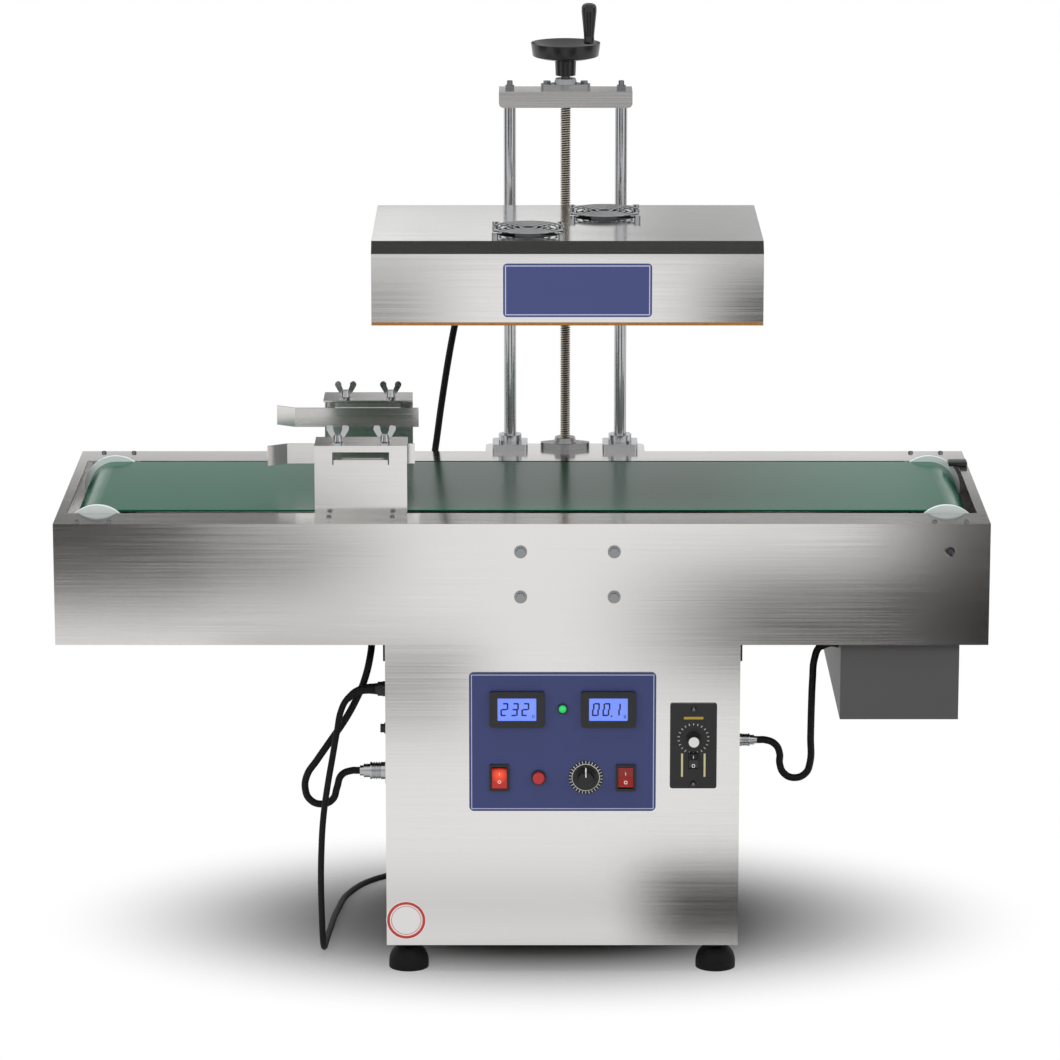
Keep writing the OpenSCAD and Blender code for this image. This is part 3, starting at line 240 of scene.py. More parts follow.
# Cabinet, conveyor frame, lift shelf and side guides: folded stainless sheet with a brushed finish.
# The brush runs along the conveyor, and its lines show as faint streaks in the reflections.
def surface(name, colour, **sockets):
    """Material with one shader of a plain colour, and its node tree for more."""
    made = bpy.data.materials.new(name)
    made.use_nodes = True
    shader = made.node_tree.nodes["Principled BSDF"]
    shader.inputs["Base Color"].default_value = srgb(colour)
    for socket, value in sockets.items():
        shader.inputs[socket.replace("_", " ")].default_value = value
    return made, made.node_tree, shader


def dress(material, *names):
    """Gives CAD nodes a material."""
    for name in names:
        nodes[name].data.materials.clear()
        nodes[name].data.materials.append(material)


def brushed(name, colour, low, high, along):
    """Steel brushed along one axis: low and high bound its roughness."""
    made, tree, shader = surface(name, colour, Metallic=1.0)
    line_width = 1.4 * mm  # real lines are finer still, drawn this coarse so that they show
    line_reach = 260 * mm
    line_depth = 0.3 * mm
    cloud_size = 160 * mm
    cloud_share = 0.3
    place = add(tree, "TexCoord").outputs["Object"]
    scale = [1 / line_reach if axis == along else 1 / line_width for axis in "XYZ"]
    drawn = add(tree, "Mapping", {"Vector": place, "Scale": scale})
    lines = add(tree, "TexNoise", {"Vector": drawn.outputs[0], "Scale": 1.0, "Detail": 3.0, "Roughness": 0.6})
    cloud = add(tree, "TexNoise", {"Vector": place, "Scale": 1 / cloud_size, "Detail": 2.0})
    spread = add(
        tree,
        "Math",
        {0: cloud.outputs["Fac"], 1: cloud_share, 2: lines.outputs["Fac"]},
        operation="MULTIPLY_ADD",
    )
    rough = add(
        tree,
        "MapRange",
        {"Value": spread.outputs[0], "From Min": 0.4, "From Max": 0.9, "To Min": low, "To Max": high},
    )
    bump = add(tree, "Bump", {"Height": lines.outputs["Fac"], "Strength": 0.03, "Distance": line_depth})
    tree.links.new(rough.outputs[0], shader.inputs["Roughness"])
    tree.links.new(bump.outputs[0], shader.inputs["Normal"])
    return made


brushed_sheet = brushed("brushed_stainless", "#e0dedc", 0.11, 0.19, "X")
dress(brushed_sheet, "cabinet_shell", "rear_cover", "front_channel", "rear_channel", "belt_bed", "crossbar")
dress(brushed_sheet, "post_shelf", "carriage", "guide_brackets", "front_rail", "rear_rail", "end_plates")


# Feet, plug and drive belt in black rubber, side fittings and meter cases in black nylon, and the lacquered
# circuit board inside. The feet and fittings screw into the cabinet; the mouldings have a fine mottled skin.
def moulded(name, colour, grain, low, high, **sockets):
    """Moulded plastic or rubber: grain is the size of its mottle, low and high bound its roughness."""
    made, tree, shader = surface(name, colour, **sockets)
    mottle_depth = 0.2 * mm
    place = add(tree, "TexCoord").outputs["Object"]
    mottle = add(tree, "TexNoise", {"Vector": place, "Scale": 1 / grain, "Detail": 3.0})
    rough = add(tree, "MapRange", {"Value": mottle.outputs["Fac"], "To Min": low, "To Max": high})
    bump = add(tree, "Bump", {"Height": mottle.outputs["Fac"], "Strength": 0.12, "Distance": mottle_depth})
    tree.links.new(rough.outputs[0], shader.inputs["Roughness"])
    tree.links.new(bump.outputs[0], shader.inputs["Normal"])
    return made


black_rubber = moulded("black_rubber", "#0a0a0b", 2 * mm, 0.5, 0.7, Specular_IOR_Level=0.25)
dress(black_rubber, "levelling_feet", "drive_belt", "mains_plug")
black_plastic = moulded("black_plastic", "#1a1a1b", 0.8 * mm, 0.3, 0.5)
dress(black_plastic, "side_fittings", "panel_meters")
circuit_board = moulded("circuit_board", "#1f5a30", 6 * mm, 0.3, 0.6)
dress(circuit_board, "inverter_board")


# Control panel: a printed blue film on a plate that lies on the cabinet's front, with a pale border line.
# The printed marks are masks over the panel's own X and Z.
def printed(material, marks):
    """Prints marks over a material: each is a list of tests on the place, all of which hold, and a colour."""
    tree = material.node_tree
    shader = tree.nodes["Principled BSDF"]
    place = add(tree, "SeparateXYZ", {0: add(tree, "TexCoord").outputs["Object"]})
    ink = shader.inputs["Base Color"].default_value[:]
    for tests, colour in marks:
        cover = 1.0
        for kind, x, z, *sizes in tests:
            dx = add(tree, "Math", {0: place.outputs["X"], 1: x * mm}, operation="SUBTRACT").outputs[0]
            dz = add(tree, "Math", {0: place.outputs["Z"], 1: z * mm}, operation="SUBTRACT").outputs[0]
            if kind == "turn":
                count, share = sizes
                pace = count / (2 * math.pi)
                angle = add(tree, "Math", {0: dz, 1: dx}, operation="ARCTAN2").outputs[0]
                steps = add(tree, "Math", {0: angle, 1: pace}, operation="MULTIPLY").outputs[0]
                part = add(tree, "Math", {0: steps, 1: 1.0, 2: 0.0}, operation="WRAP").outputs[0]
                hit = add(tree, "Math", {0: part, 1: 0.5, 2: share / 2}, operation="COMPARE").outputs[0]
            else:
                wide, high, line = sizes
                if kind == "ring":
                    dx2 = add(tree, "Math", {0: dx, 1: dx}, operation="MULTIPLY").outputs[0]
                    far = add(tree, "Math", {0: dz, 1: dz, 2: dx2}, operation="MULTIPLY_ADD").outputs[0]
                    away = add(tree, "Math", {0: far, 1: 0.5}, operation="POWER").outputs[0]
                    away = add(tree, "Math", {0: away, 1: wide * mm}, operation="SUBTRACT").outputs[0]
                else:
                    ax = add(tree, "Math", {0: dx}, operation="ABSOLUTE").outputs[0]
                    az = add(tree, "Math", {0: dz}, operation="ABSOLUTE").outputs[0]
                    ax = add(tree, "Math", {0: ax, 1: wide * mm}, operation="SUBTRACT").outputs[0]
                    az = add(tree, "Math", {0: az, 1: high * mm}, operation="SUBTRACT").outputs[0]
                    away = add(tree, "Math", {0: ax, 1: az}, operation="MAXIMUM").outputs[0]
                if line:
                    half = line / 2 * mm
                    hit = add(tree, "Math", {0: away, 1: 0.0, 2: half}, operation="COMPARE").outputs[0]
                else:
                    hit = add(tree, "Math", {0: away, 1: 0.0}, operation="LESS_THAN").outputs[0]
            cover = add(tree, "Math", {0: cover, 1: hit}, operation="MULTIPLY").outputs[0]
        ink = add(tree, "MixRGB", {0: cover, 1: ink, 2: srgb(colour)}).outputs[0]
    tree.links.new(ink, shader.inputs["Base Color"])
    return material


def node_middle(name):
    """Middle of a CAD node's box, in millimetres."""
    low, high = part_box(name)
    return (low + high) / 2 / mm


border_inset, border_line = 3.0, 1.1
panel_x, _, panel_z = node_middle("control_panel")
panel_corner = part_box("control_panel")[1] / mm
border_reach = (panel_corner.x - panel_x - border_inset, panel_corner.z - panel_z - border_inset)
blue_film = moulded("printed_film", "#363f70", 1.5 * mm, 0.28, 0.42)
printed(blue_film, [([("box", panel_x, panel_z, *border_reach, border_line)], "#b9c0dc")])
dress(blue_film, "control_panel")

# Dial of the power knob, with the bezels and frames of the panel: black mouldings clipped into the plate.
# A ring of pale ticks and a thin line are printed round the knob.
dial_x, _, switch_z = node_middle("power_knob")
dial_tick_r, dial_tick_long, dial_ticks, tick_share = 19.2, 3.6, 30, 0.16
dial_line_r, dial_line = 17.0, 0.6
pale_ink = "#e6e6e6"
dial_plate = moulded("dial_plate", "#141415", 0.8 * mm, 0.28, 0.45)
dial_ticked = [
    ("ring", dial_x, switch_z, dial_tick_r, 0, dial_tick_long),
    ("turn", dial_x, switch_z, dial_ticks, tick_share),
]
dial_ring = [("ring", dial_x, switch_z, dial_line_r, 0, dial_line)]
printed(dial_plate, [(dial_ticked, pale_ink), (dial_ring, pale_ink)])
dress(dial_plate, "panel_fittings")


# Rockers and reset button: glossy red mouldings that pivot in their frames or slide in a bushing. The rockers
# are marked with a bar and a ring, and the power rocker is lit from inside.
def marked_rocker(name, x, z, colour):
    """Dresses a rocker, with a bar printed above its middle and a ring below."""
    bar_up, bar_half_wide, bar_half_high = 5.2, 0.45, 2.0
    ring_down, ring_r, ring_line = 5.4, 1.7, 0.8
    white_ink = "#f2ece6"
    made = moulded(name + "_plastic", colour, 0.8 * mm, 0.12, 0.25)
    bar = [("box", x, z + bar_up, bar_half_wide, bar_half_high, 0)]
    loop = [("ring", x, z - ring_down, ring_r, 0, ring_line)]
    printed(made, [(bar, white_ink), (loop, white_ink)])
    dress(made, name)
    return made


power_x, start_x = node_middle("power_rocker").x, node_middle("start_rocker").x
power_plastic = marked_rocker("power_rocker", power_x, switch_z, "#c22a20")
marked_rocker("start_rocker", start_x, switch_z, "#8f1712")

glow_y, glow_up = -235.0, 3.0
glow_near, glow_far, glow_strength = 2.0, 12.0, 0.9
lit = power_plastic.node_tree
glow_from = Vector((power_x, glow_y, switch_z + glow_up)) * mm
away = add(lit, "VectorMath", {0: add(lit, "TexCoord").outputs["Object"], 1: glow_from}, operation="DISTANCE")
glow = add(
    lit,
    "MapRange",
    {
        "Value": away.outputs["Value"],
        "From Min": glow_near * mm,
        "From Max": glow_far * mm,
        "To Min": glow_strength,
        "To Max": 0.0,
    },
)
lit.nodes["Principled BSDF"].inputs["Emission Color"].default_value = srgb("#ff5a28")
lit.links.new(glow.outputs[0], lit.nodes["Principled BSDF"].inputs["Emission Strength"])
red_plastic = moulded("red_plastic", "#bd2b30", 0.8 * mm, 0.15, 0.3)
dress(red_plastic, "reset_button")

# Power knob: black plastic, pressed on its spindle, with a white pointer line.
# The pointer is printed on the cap and turns with it.
pointer_up, pointer_half_wide, pointer_half_high = 9.5, 0.7, 5.0
knob_plastic = moulded("knob_plastic", "#161617", 0.6 * mm, 0.3, 0.5)
pointer = [("box", dial_x, switch_z + pointer_up, pointer_half_wide, pointer_half_high, 0)]
printed(knob_plastic, [(pointer, "#f0f0f0")])
dress(knob_plastic, "power_knob")


# Meter screens: blue backlit glass with dark slanted digits and a unit letter, set in the meters' recesses.
# The digits are seven strokes each, laid on the glass as a thin ink.
def piece(name, bm, material, body, smooth=False):
    """Finished object of a mesh in millimetres, riding on a CAD body."""
    crease = math.radians(40)
    bmesh.ops.scale(bm, vec=(mm, mm, mm), verts=bm.verts)
    bmesh.ops.recalc_face_normals(bm, faces=bm.faces)
    data = bpy.data.meshes.new(name)
    bm.to_mesh(data)
    bm.free()
    for face in data.polygons:
        face.use_smooth = smooth
    if smooth:
        data.set_sharp_from_angle(angle=crease)
    data.materials.append(material)
    made = bpy.data.objects.new(name, data)
    bpy.context.collection.objects.link(made)
    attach(made, body)
    return made


def slab(bm, middle, size, slant=0.0):
    """Box about a middle point; slant leans its top to the right."""
    lean = Matrix.Shear("XY", 4, (slant, 0)) if slant else Matrix.Identity(4)
    turned = Matrix.Rotation(math.pi / 2, 4, "X") @ lean @ Matrix.Rotation(-math.pi / 2, 4, "X")
    place = Matrix.Translation(middle) @ turned @ Matrix.Diagonal((*size, 1))
    bmesh.ops.create_cube(bm, size=1, matrix=place)


meter_step = 56.7
meter_z = node_middle("panel_meters").z
screen_size, screen_deep = (48, 0.2, 29), 1.4
screen_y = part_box("panel_meters")[0].y / mm + screen_deep
screen_mottle = 30 * mm
ink_thick = 0.1
ink_y = screen_y - (screen_size[1] + ink_thick) / 2
digit_high, digit_wide, stroke, digit_slant = 17.0, 8.6, 2.0, 0.15
stroke_gap = 0.8
first_digit, digit_step, digit_lean = -15.5, 13.0, 1.3
point_back, point_size = 6.6, 2.0
unit_right, unit_down, unit_high, unit_stroke = 20.4, 9.0, 4.4, 0.7
unit_spread, unit_slant = 0.9, 0.4
unit_bar_wide, unit_bar_thick = 1.8, 0.6
lcd_glass, tree, shader = surface("lcd_glass", "#5a74e0", Roughness=0.12)
even = add(tree, "TexNoise", {"Vector": add(tree, "TexCoord").outputs["Object"], "Scale": 1 / screen_mottle})
level = add(tree, "MapRange", {"Value": even.outputs["Fac"], "To Min": 0.55, "To Max": 0.8})
shader.inputs["Emission Color"].default_value = srgb("#7088f0")
tree.links.new(level.outputs[0], shader.inputs["Emission Strength"])
lcd_ink = moulded("lcd_ink", "#182250", 0.6 * mm, 0.3, 0.45)
strokes = {"0": "abcdef", "1": "bc", "2": "abdeg", "3": "abcdg"}
stroke_places = {
    "a": (0, 1), "b": (1, 0.5), "c": (1, -0.5), "d": (0, -1), "e": (-1, -0.5), "f": (-1, 0.5), "g": (0, 0),
}
flat_stroke = (digit_wide - stroke - stroke_gap, ink_thick, stroke)
upright_stroke = (stroke, ink_thick, digit_high / 2 - stroke_gap)
for side, side_name, reading in ((-1, "left", "232"), (1, "right", "00.1")):
    screen_x = panel_x + side * meter_step
    glass = bmesh.new()
    slab(glass, (screen_x, screen_y, meter_z), screen_size)
    piece("screen_" + side_name, glass, lcd_glass, "base")
    ink = bmesh.new()
    x = screen_x + first_digit
    for sign in reading:
        if sign == ".":
            point = (x - point_back, ink_y, meter_z - digit_high / 2)
            slab(ink, point, (point_size, ink_thick, point_size))
            continue
        for letter in strokes[sign]:
            right, up = stroke_places[letter]
            stroke_x = x + right * (digit_wide / 2 - stroke / 2) + up * digit_lean
            stroke_z = meter_z + up * (digit_high / 2 - stroke / 2)
            slab(ink, (stroke_x, ink_y, stroke_z), upright_stroke if right else flat_stroke, digit_slant)
        x += digit_step
    unit_x, unit_z = screen_x + unit_right, meter_z - unit_down
    for leg in (1, -1):
        leg_place = (unit_x + leg * unit_spread, ink_y, unit_z)
        slab(ink, leg_place, (unit_stroke, ink_thick, unit_high), -leg * side * unit_slant)
    if side > 0:
        slab(ink, (unit_x, ink_y, unit_z - unit_spread), (unit_bar_wide, ink_thick, unit_bar_thick))
    piece("digits_" + side_name, ink, lcd_ink, "base")

# Lamp: a green plastic lens with a round front, pushed into the bezel between the meters.
# It is lit from behind and glows a little.
lamp_y, lamp_r = -230.0, 4.8
lens = bmesh.new()
bmesh.ops.create_uvsphere(lens, u_segments=24, v_segments=12, radius=lamp_r)
bmesh.ops.translate(lens, vec=(panel_x, lamp_y, meter_z), verts=lens.verts)
green_lens = moulded("green_lens", "#1fae55", 2 * mm, 0.08, 0.18, Emission_Strength=0.55)
green_lens.node_tree.nodes["Principled BSDF"].inputs["Emission Color"].default_value = srgb("#2ad06a")
piece("lamp_lens", lens, green_lens, "base", smooth=True)

# Speed controller: a black moulded unit with a printed dial, a capped knob, a black rocker and two pale
# strips, held in the cabinet's front by a screw at the top and one at the bottom.
speed_x, _, speed_z = node_middle("speed_controller")
speed_dial_z = node_middle("speed_knob").z
run_z = 276.5
speed_tick_r, speed_tick_long, speed_ticks = 18.5, 2.6, 22
strip_side, strip_down, strip_half_wide, strip_half_high = 14.0, 6.0, 1.2, 15.0
gold_up, gold_half_wide, gold_half_high = 36.0, 12.0, 1.6
cap_d = 13.0
speed_face = moulded("speed_face", "#1d1d1e", 0.8 * mm, 0.3, 0.48)
speed_ticked = [
    ("ring", speed_x, speed_dial_z, speed_tick_r, 0, speed_tick_long),
    ("turn", speed_x, speed_dial_z, speed_ticks, tick_share),
]
speed_marks = [(speed_ticked, "#d8d6cf")]
for side in (-1, 1):
    strip = ("box", speed_x + side * strip_side, run_z - strip_down, strip_half_wide, strip_half_high, 0)
    speed_marks.append(([strip], "#d6cf9a"))
speed_marks.append(([("box", speed_x, speed_z + gold_up, gold_half_wide, gold_half_high, 0)], "#b89a3c"))
printed(speed_face, speed_marks)
dress(speed_face, "speed_controller")
cap_plastic = moulded("speed_knob_plastic", "#161617", 0.6 * mm, 0.3, 0.5)
printed(cap_plastic, [([("ring", speed_x, speed_dial_z, 0, 0, cap_d)], "#e9e9e7")])
dress(cap_plastic, "speed_knob")
marked_rocker("run_rocker", speed_x, run_z, "#1b1b1c")


def screw_head(bm, place, axis, radius):
    """Pan head with a socket, standing on a place along an axis."""
    axis = Vector(axis)
    top_r, head_high = radius * 0.78, radius * 0.6
    socket_wall, socket_deep = radius * 0.34, radius * 0.35
    turn = Vector((0, 0, 1)).rotation_difference(axis).to_matrix().to_4x4()
    middle = Vector(place) + axis * head_high / 2
    made = bmesh.ops.create_cone(
        bm, cap_ends=True, segments=20, radius1=radius, radius2=top_r, depth=head_high,
        matrix=Matrix.Translation(middle) @ turn,
    )
    caps = {face for vert in made["verts"] for face in vert.link_faces if len(face.verts) > 4}
    top = [face for face in caps if face.calc_center_median().dot(axis) > middle.dot(axis)]
    bmesh.ops.inset_region(bm, faces=top, thickness=socket_wall)
    bmesh.ops.translate(bm, vec=axis * -socket_deep, verts=list({v for f in top for v in f.verts}))


speed_screw_y, speed_screw_reach = -229.8, 48.0
small_screw_r = 3.4
screw_steel = brushed("screw_steel", "#77777a", 0.15, 0.3, "Z")
heads = bmesh.new()
for z in (speed_z + speed_screw_reach, speed_z - speed_screw_reach):
    screw_head(heads, (speed_x, speed_screw_y, z), (0, -1, 0), small_screw_r)
piece("speed_screws", heads, screw_steel, "base")

# Inspection sticker: a round paper label, stuck low on the cabinet's front.
# It is white, with a broad and a thin red ring and nothing else on it.
sticker_x, sticker_z = -145.0, 68.0
sticker_r, sticker_proud, paper_thick = 25, 0.15, 0.2
broad_ring_r, broad_ring = 22.2, 3.4
thin_ring_r, thin_ring = 18.4, 0.7
ring_red = "#c2453f"
shell_low, shell_high = (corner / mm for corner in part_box("cabinet_shell"))
sticker_place = (sticker_x, shell_low.y - sticker_proud, sticker_z)
disc = bmesh.new()
bmesh.ops.create_cone(
    disc, cap_ends=True, segments=48, radius1=sticker_r, radius2=sticker_r, depth=paper_thick,
    matrix=Matrix.Translation(sticker_place) @ Matrix.Rotation(math.pi / 2, 4, "X"),
)
label_paper = moulded("label_paper", "#f1efee", 1 * mm, 0.5, 0.7)
sticker_rings = ((broad_ring_r, broad_ring), (thin_ring_r, thin_ring))
printed(label_paper, [([("ring", sticker_x, sticker_z, r, 0, line)], ring_red) for r, line in sticker_rings])
piece("round_sticker", disc, label_paper, "base")

# Conveyor: a green PVC belt over white flanged nylon rollers, on turned steel shafts in cast blocks. Socket
# screws hold the end plates, the axles, the side guides' feet and the cabinet's rear cover.
belt_skin = moulded("belt_pvc", "#0d4a37", 90 * mm, 0.16, 0.26, Specular_IOR_Level=0.26)
dress(belt_skin, "belt")
roller_nylon = moulded("roller_nylon", "#c3cbca", 3 * mm, 0.3, 0.5)
dress(roller_nylon, "drive_roller", "idler_roller")
cast_block = moulded("cast_block", "#4c4f52", 1.2 * mm, 0.5, 0.75, Metallic=0.3)
dress(cast_block, "bearing_blocks")
turned_steel = brushed("turned_steel", "#9c9d9e", 0.25, 0.45, "Y")
dress(turned_steel, "tie_bars", "drive_shaft", "idler_shaft", "motor_pulley", "screw_bearings")

axle_x, axle_z = 526, 548
block_screw_near, block_screw_far = 507, 546
block_screw_inset, block_screw_r = 11, 3.6
axle_screw_r, tail_screw_r = 7.5, 7.0
foot_sheet, foot_screw_x, foot_screw_y = 2.0, 18, 8
cover_screw_x, cover_screw_z = 10, 12
channel_low, channel_high = (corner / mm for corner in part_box("front_channel"))
rear_low, rear_high = (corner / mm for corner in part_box("rear_channel"))
bracket_low, bracket_high = (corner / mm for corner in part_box("guide_brackets"))
cover_low, cover_high = (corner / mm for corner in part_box("rear_cover"))
heads = bmesh.new()
for x in (-block_screw_far, -block_screw_near, block_screw_near, block_screw_far):
    screw_head(heads, (x, channel_low.y + block_screw_inset, channel_high.z), (0, 0, 1), block_screw_r)
    screw_head(heads, (x, rear_high.y - block_screw_inset, rear_high.z), (0, 0, 1), block_screw_r)
screw_head(heads, (axle_x, channel_low.y, axle_z), (0, -1, 0), axle_screw_r)
for x in (bracket_low.x + foot_screw_x, bracket_high.x - foot_screw_x):
    for y in (bracket_low.y + foot_screw_y, bracket_high.y - foot_screw_y):
        screw_head(heads, (x, y, bracket_low.z + foot_sheet), (0, 0, 1), small_screw_r)
screw_head(heads, (-axle_x, rear_high.y, axle_z), (0, 1, 0), tail_screw_r)
cover_middle = (cover_low.z + cover_high.z) / 2
for x in (cover_low.x + cover_screw_x, cover_high.x - cover_screw_x):
    for z in (cover_low.z + cover_screw_z, cover_middle, cover_high.z - cover_screw_z):
        screw_head(heads, (x, cover_high.y, z), (0, 1, 0), small_screw_r)
piece("frame_screws", heads, screw_steel, "base")

# Mounting angles: two steel angles that stand along the cabinet's sides at its top, bolted up into the lower
# flanges of the conveyor's channels. They are coloured near black, a painted shade for the dark gap under the
# conveyor.
angle_leg, angle_sheet, angle_gap = 27.0, 2.5, 0.05
angle_setback, angle_lap = 5, 21
angle_bolt_out, angle_bolt_inset, angle_bolt_r = 17, 12, 4.0
# Painted shade: the angles' near-black colour stands in for the shade under the conveyor.
angle_shade_black = moulded("angle_shade_black", "#1b1b1c", 1.5 * mm, 0.4, 0.6)
angle_top = channel_low.z - angle_gap
angle_front, angle_back = shell_low.y + angle_setback, rear_low.y + angle_lap
angle_y, angle_long = (angle_front + angle_back) / 2, angle_back - angle_front
flat_wide = angle_leg - angle_sheet
angles = bmesh.new()
angle_bolts = bmesh.new()
for side, wall in ((-1, shell_low.x - angle_gap), (1, shell_high.x + angle_gap)):
    upright = (wall + side * angle_sheet / 2, angle_y, angle_top - angle_leg / 2)
    slab(angles, upright, (angle_sheet, angle_long, angle_leg))
    flat = (wall + side * (angle_sheet + flat_wide / 2), angle_y, angle_top - angle_sheet / 2)
    slab(angles, flat, (flat_wide, angle_long, angle_sheet))
    for y in (angle_front + angle_bolt_inset, angle_back - angle_bolt_inset):
        bolt = (wall + side * angle_bolt_out, y, angle_top - angle_sheet)
        screw_head(angle_bolts, bolt, (0, 0, -1), angle_bolt_r)
piece("mounting_angles", angles, angle_shade_black, "base")
piece("angle_bolts", angle_bolts, screw_steel, "base")

# Corner cap: a small block of black plastic with rounded edges, on top of the conveyor's right end.
# What it is for doesn't show.
cap_x, cap_back, cap_size, cap_edge = 562, 85, (24, 20, 6), 1.5
cap = bmesh.new()
slab(cap, (cap_x, rear_high.y - cap_back, rear_high.z + cap_size[2] / 2), cap_size)
bmesh.ops.bevel(
    cap, geom=cap.edges[:], offset=cap_edge, offset_type="OFFSET", segments=3, profile=0.5, affect="EDGES",
    material=-1,
)
piece("corner_cap", cap, black_plastic, "base", smooth=True)

# Motor box: folded sheet, sprayed dark grey with a fine orange peel, under the conveyor's right end.
# The gear motor inside has a cast alloy housing.
grey_paint = moulded("grey_paint", "#565556", 1.6 * mm, 0.38, 0.55)
dress(grey_paint, "motor_box")
motor_alloy = moulded("motor_alloy", "#44474b", 1 * mm, 0.4, 0.6, Metallic=0.6)
dress(motor_alloy, "gear_motor")

# Posts, flanges, wing screws and connectors: turned steel with a bright plating, a little smeared.
# The posts stand in the flanges at the foot, and nuts hold the crossbar on their tops.
smear_size = 12 * mm
bright_plate, tree, shader = surface("chrome_plate", "#babbbd", Metallic=1.0)
place = add(tree, "TexCoord").outputs["Object"]
smear = add(tree, "TexNoise", {"Vector": place, "Scale": 1 / smear_size, "Detail": 3.0})
gloss = add(tree, "MapRange", {"Value": smear.outputs["Fac"], "To Min": 0.06, "To Max": 0.22})
tree.links.new(gloss.outputs[0], shader.inputs["Roughness"])
dress(bright_plate, "posts", "post_flanges", "cable_connectors")
dress(bright_plate, "front_wing_left", "front_wing_right", "rear_wing_left", "rear_wing_right")

# Handwheel: moulded black bakelite with a dished face, a thick rim and a hub, fixed on the lead screw's top.
# It stands for the CAD wheel, and its turning grip is the CAD one.
screw_low, screw_high = (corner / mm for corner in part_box("lead_screw"))
screw_x, screw_y, _ = node_middle("lead_screw")
rim_z, rim_half, rim_draft = screw_high.z, 9.0, 2.5
face_wall, face_deep = 15.0, 12.0
back_wall, back_bulge = 11.0, 3.0
rim_edge, rim_crease = 1.6, 0.8
hub_r, hub_draft = 14.0, 1.0
boss_r, boss_low, boss_high = 12.0, rim_z - 2, rim_z + 3
wheel_low, wheel_high = (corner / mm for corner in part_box("handwheel"))
wheel_r = (wheel_high.x - wheel_low.x) / 2
bakelite = moulded("bakelite", "#131314", 3 * mm, 0.18, 0.32)
dress(bakelite, "handwheel", "grip")
wheel = bmesh.new()
bmesh.ops.create_cone(
    wheel, cap_ends=True, segments=72, radius1=wheel_r - rim_draft, radius2=wheel_r, depth=2 * rim_half,
    matrix=Matrix.Translation((screw_x, screw_y, rim_z)),
)
for side, wall, deep in ((1, face_wall, face_deep), (-1, back_wall, -back_bulge)):
    end = [face for face in wheel.faces if len(face.verts) > 4 and face.normal.z * side > 0.9]
    bmesh.ops.inset_region(wheel, faces=end, thickness=wall)
    bmesh.ops.translate(wheel, vec=(0, 0, -deep * side), verts=list({v for f in end for v in f.verts}))
sharp = [edge for edge in wheel.edges if len(edge.link_faces) == 2 and edge.calc_face_angle(0) > rim_crease]
bmesh.ops.bevel(
    wheel, geom=sharp, offset=rim_edge, offset_type="OFFSET", segments=3, profile=0.5, affect="EDGES",
    material=-1,
)
for low, high, radius in ((wheel_low.z, rim_z - rim_half, hub_r), (boss_low, boss_high, boss_r)):
    bmesh.ops.create_cone(
        wheel, cap_ends=True, segments=40, radius1=radius - hub_draft, radius2=radius, depth=high - low,
        matrix=Matrix.Translation((screw_x, screw_y, (low + high) / 2)),
    )
wheel_piece = piece("handwheel_dish", wheel, bakelite, "handwheel", smooth=True)
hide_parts("handwheel")

# Crossbar bolts and bushes: a hexagon nut on each post's threaded end, and two hexagon heads on the upper
# flange bearing. The bushes and the nut of the carriage are bronze.
post_step, bearing_step = 72.0, 24.0
nut_r, nut_high = 6.6, 5.0
end_r, end_tip_r, end_low, end_high = 4.0, 3.6, 5.0, 11.0
hexagon_r, hexagon_low, hexagon_high = 5.4, 6.0, 10.6
bolt_parts = (
    (post_step, 6, nut_r, nut_r, 0, nut_high),
    (post_step, 20, end_r, end_tip_r, end_low, end_high),
    (bearing_step, 6, hexagon_r, hexagon_r, hexagon_low, hexagon_high),
)
bar_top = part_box("crossbar")[1].z / mm
bolts = bmesh.new()
for side in (-1, 1):
    for step, corners, foot_r, tip_r, low, high in bolt_parts:
        bmesh.ops.create_cone(
            bolts, cap_ends=True, segments=corners, radius1=foot_r, radius2=tip_r, depth=high - low,
            matrix=Matrix.Translation((screw_x + side * step, screw_y, bar_top + (low + high) / 2)),
        )
piece("lift_bolts", bolts, screw_steel, "base")
bronze = brushed("bronze", "#a8823f", 0.3, 0.45, "Z")
dress(bronze, "lift_bushes")

# Lead screw: brownish steel, with a plain journal at the top for the handwheel. Its thread is a ridge wound
# round a core.
# Its colour runs from near black in the grooves to near white on the crests: painted shade and a painted
# highlight.
thread_low, thread_high, thread_pitch = screw_low.z, 1049.5, 3.0
thread_outer, thread_root, ridge_half = 7.0, 5.3, 1.1
journal_r, journal_top = 6.0, screw_high.z
groove_shade_r, crest_highlight_r = 5.9, 6.6
turn_steps = 16
thread_turns = round((thread_high - thread_low) / thread_pitch) - 2
groove_shaded_steel = brushed("groove_shaded_steel", "#9a9288", 0.2, 0.35, "Z")
tree = groove_shaded_steel.node_tree
from_axis = add(
    tree,
    "Mapping",
    {
        "Vector": add(tree, "TexCoord").outputs["Object"],
        "Location": (-screw_x * mm, -screw_y * mm, 0),
        "Scale": (1, 1, 0),
    },
)
far = add(tree, "VectorMath", {0: from_axis.outputs[0]}, operation="LENGTH").outputs["Value"]
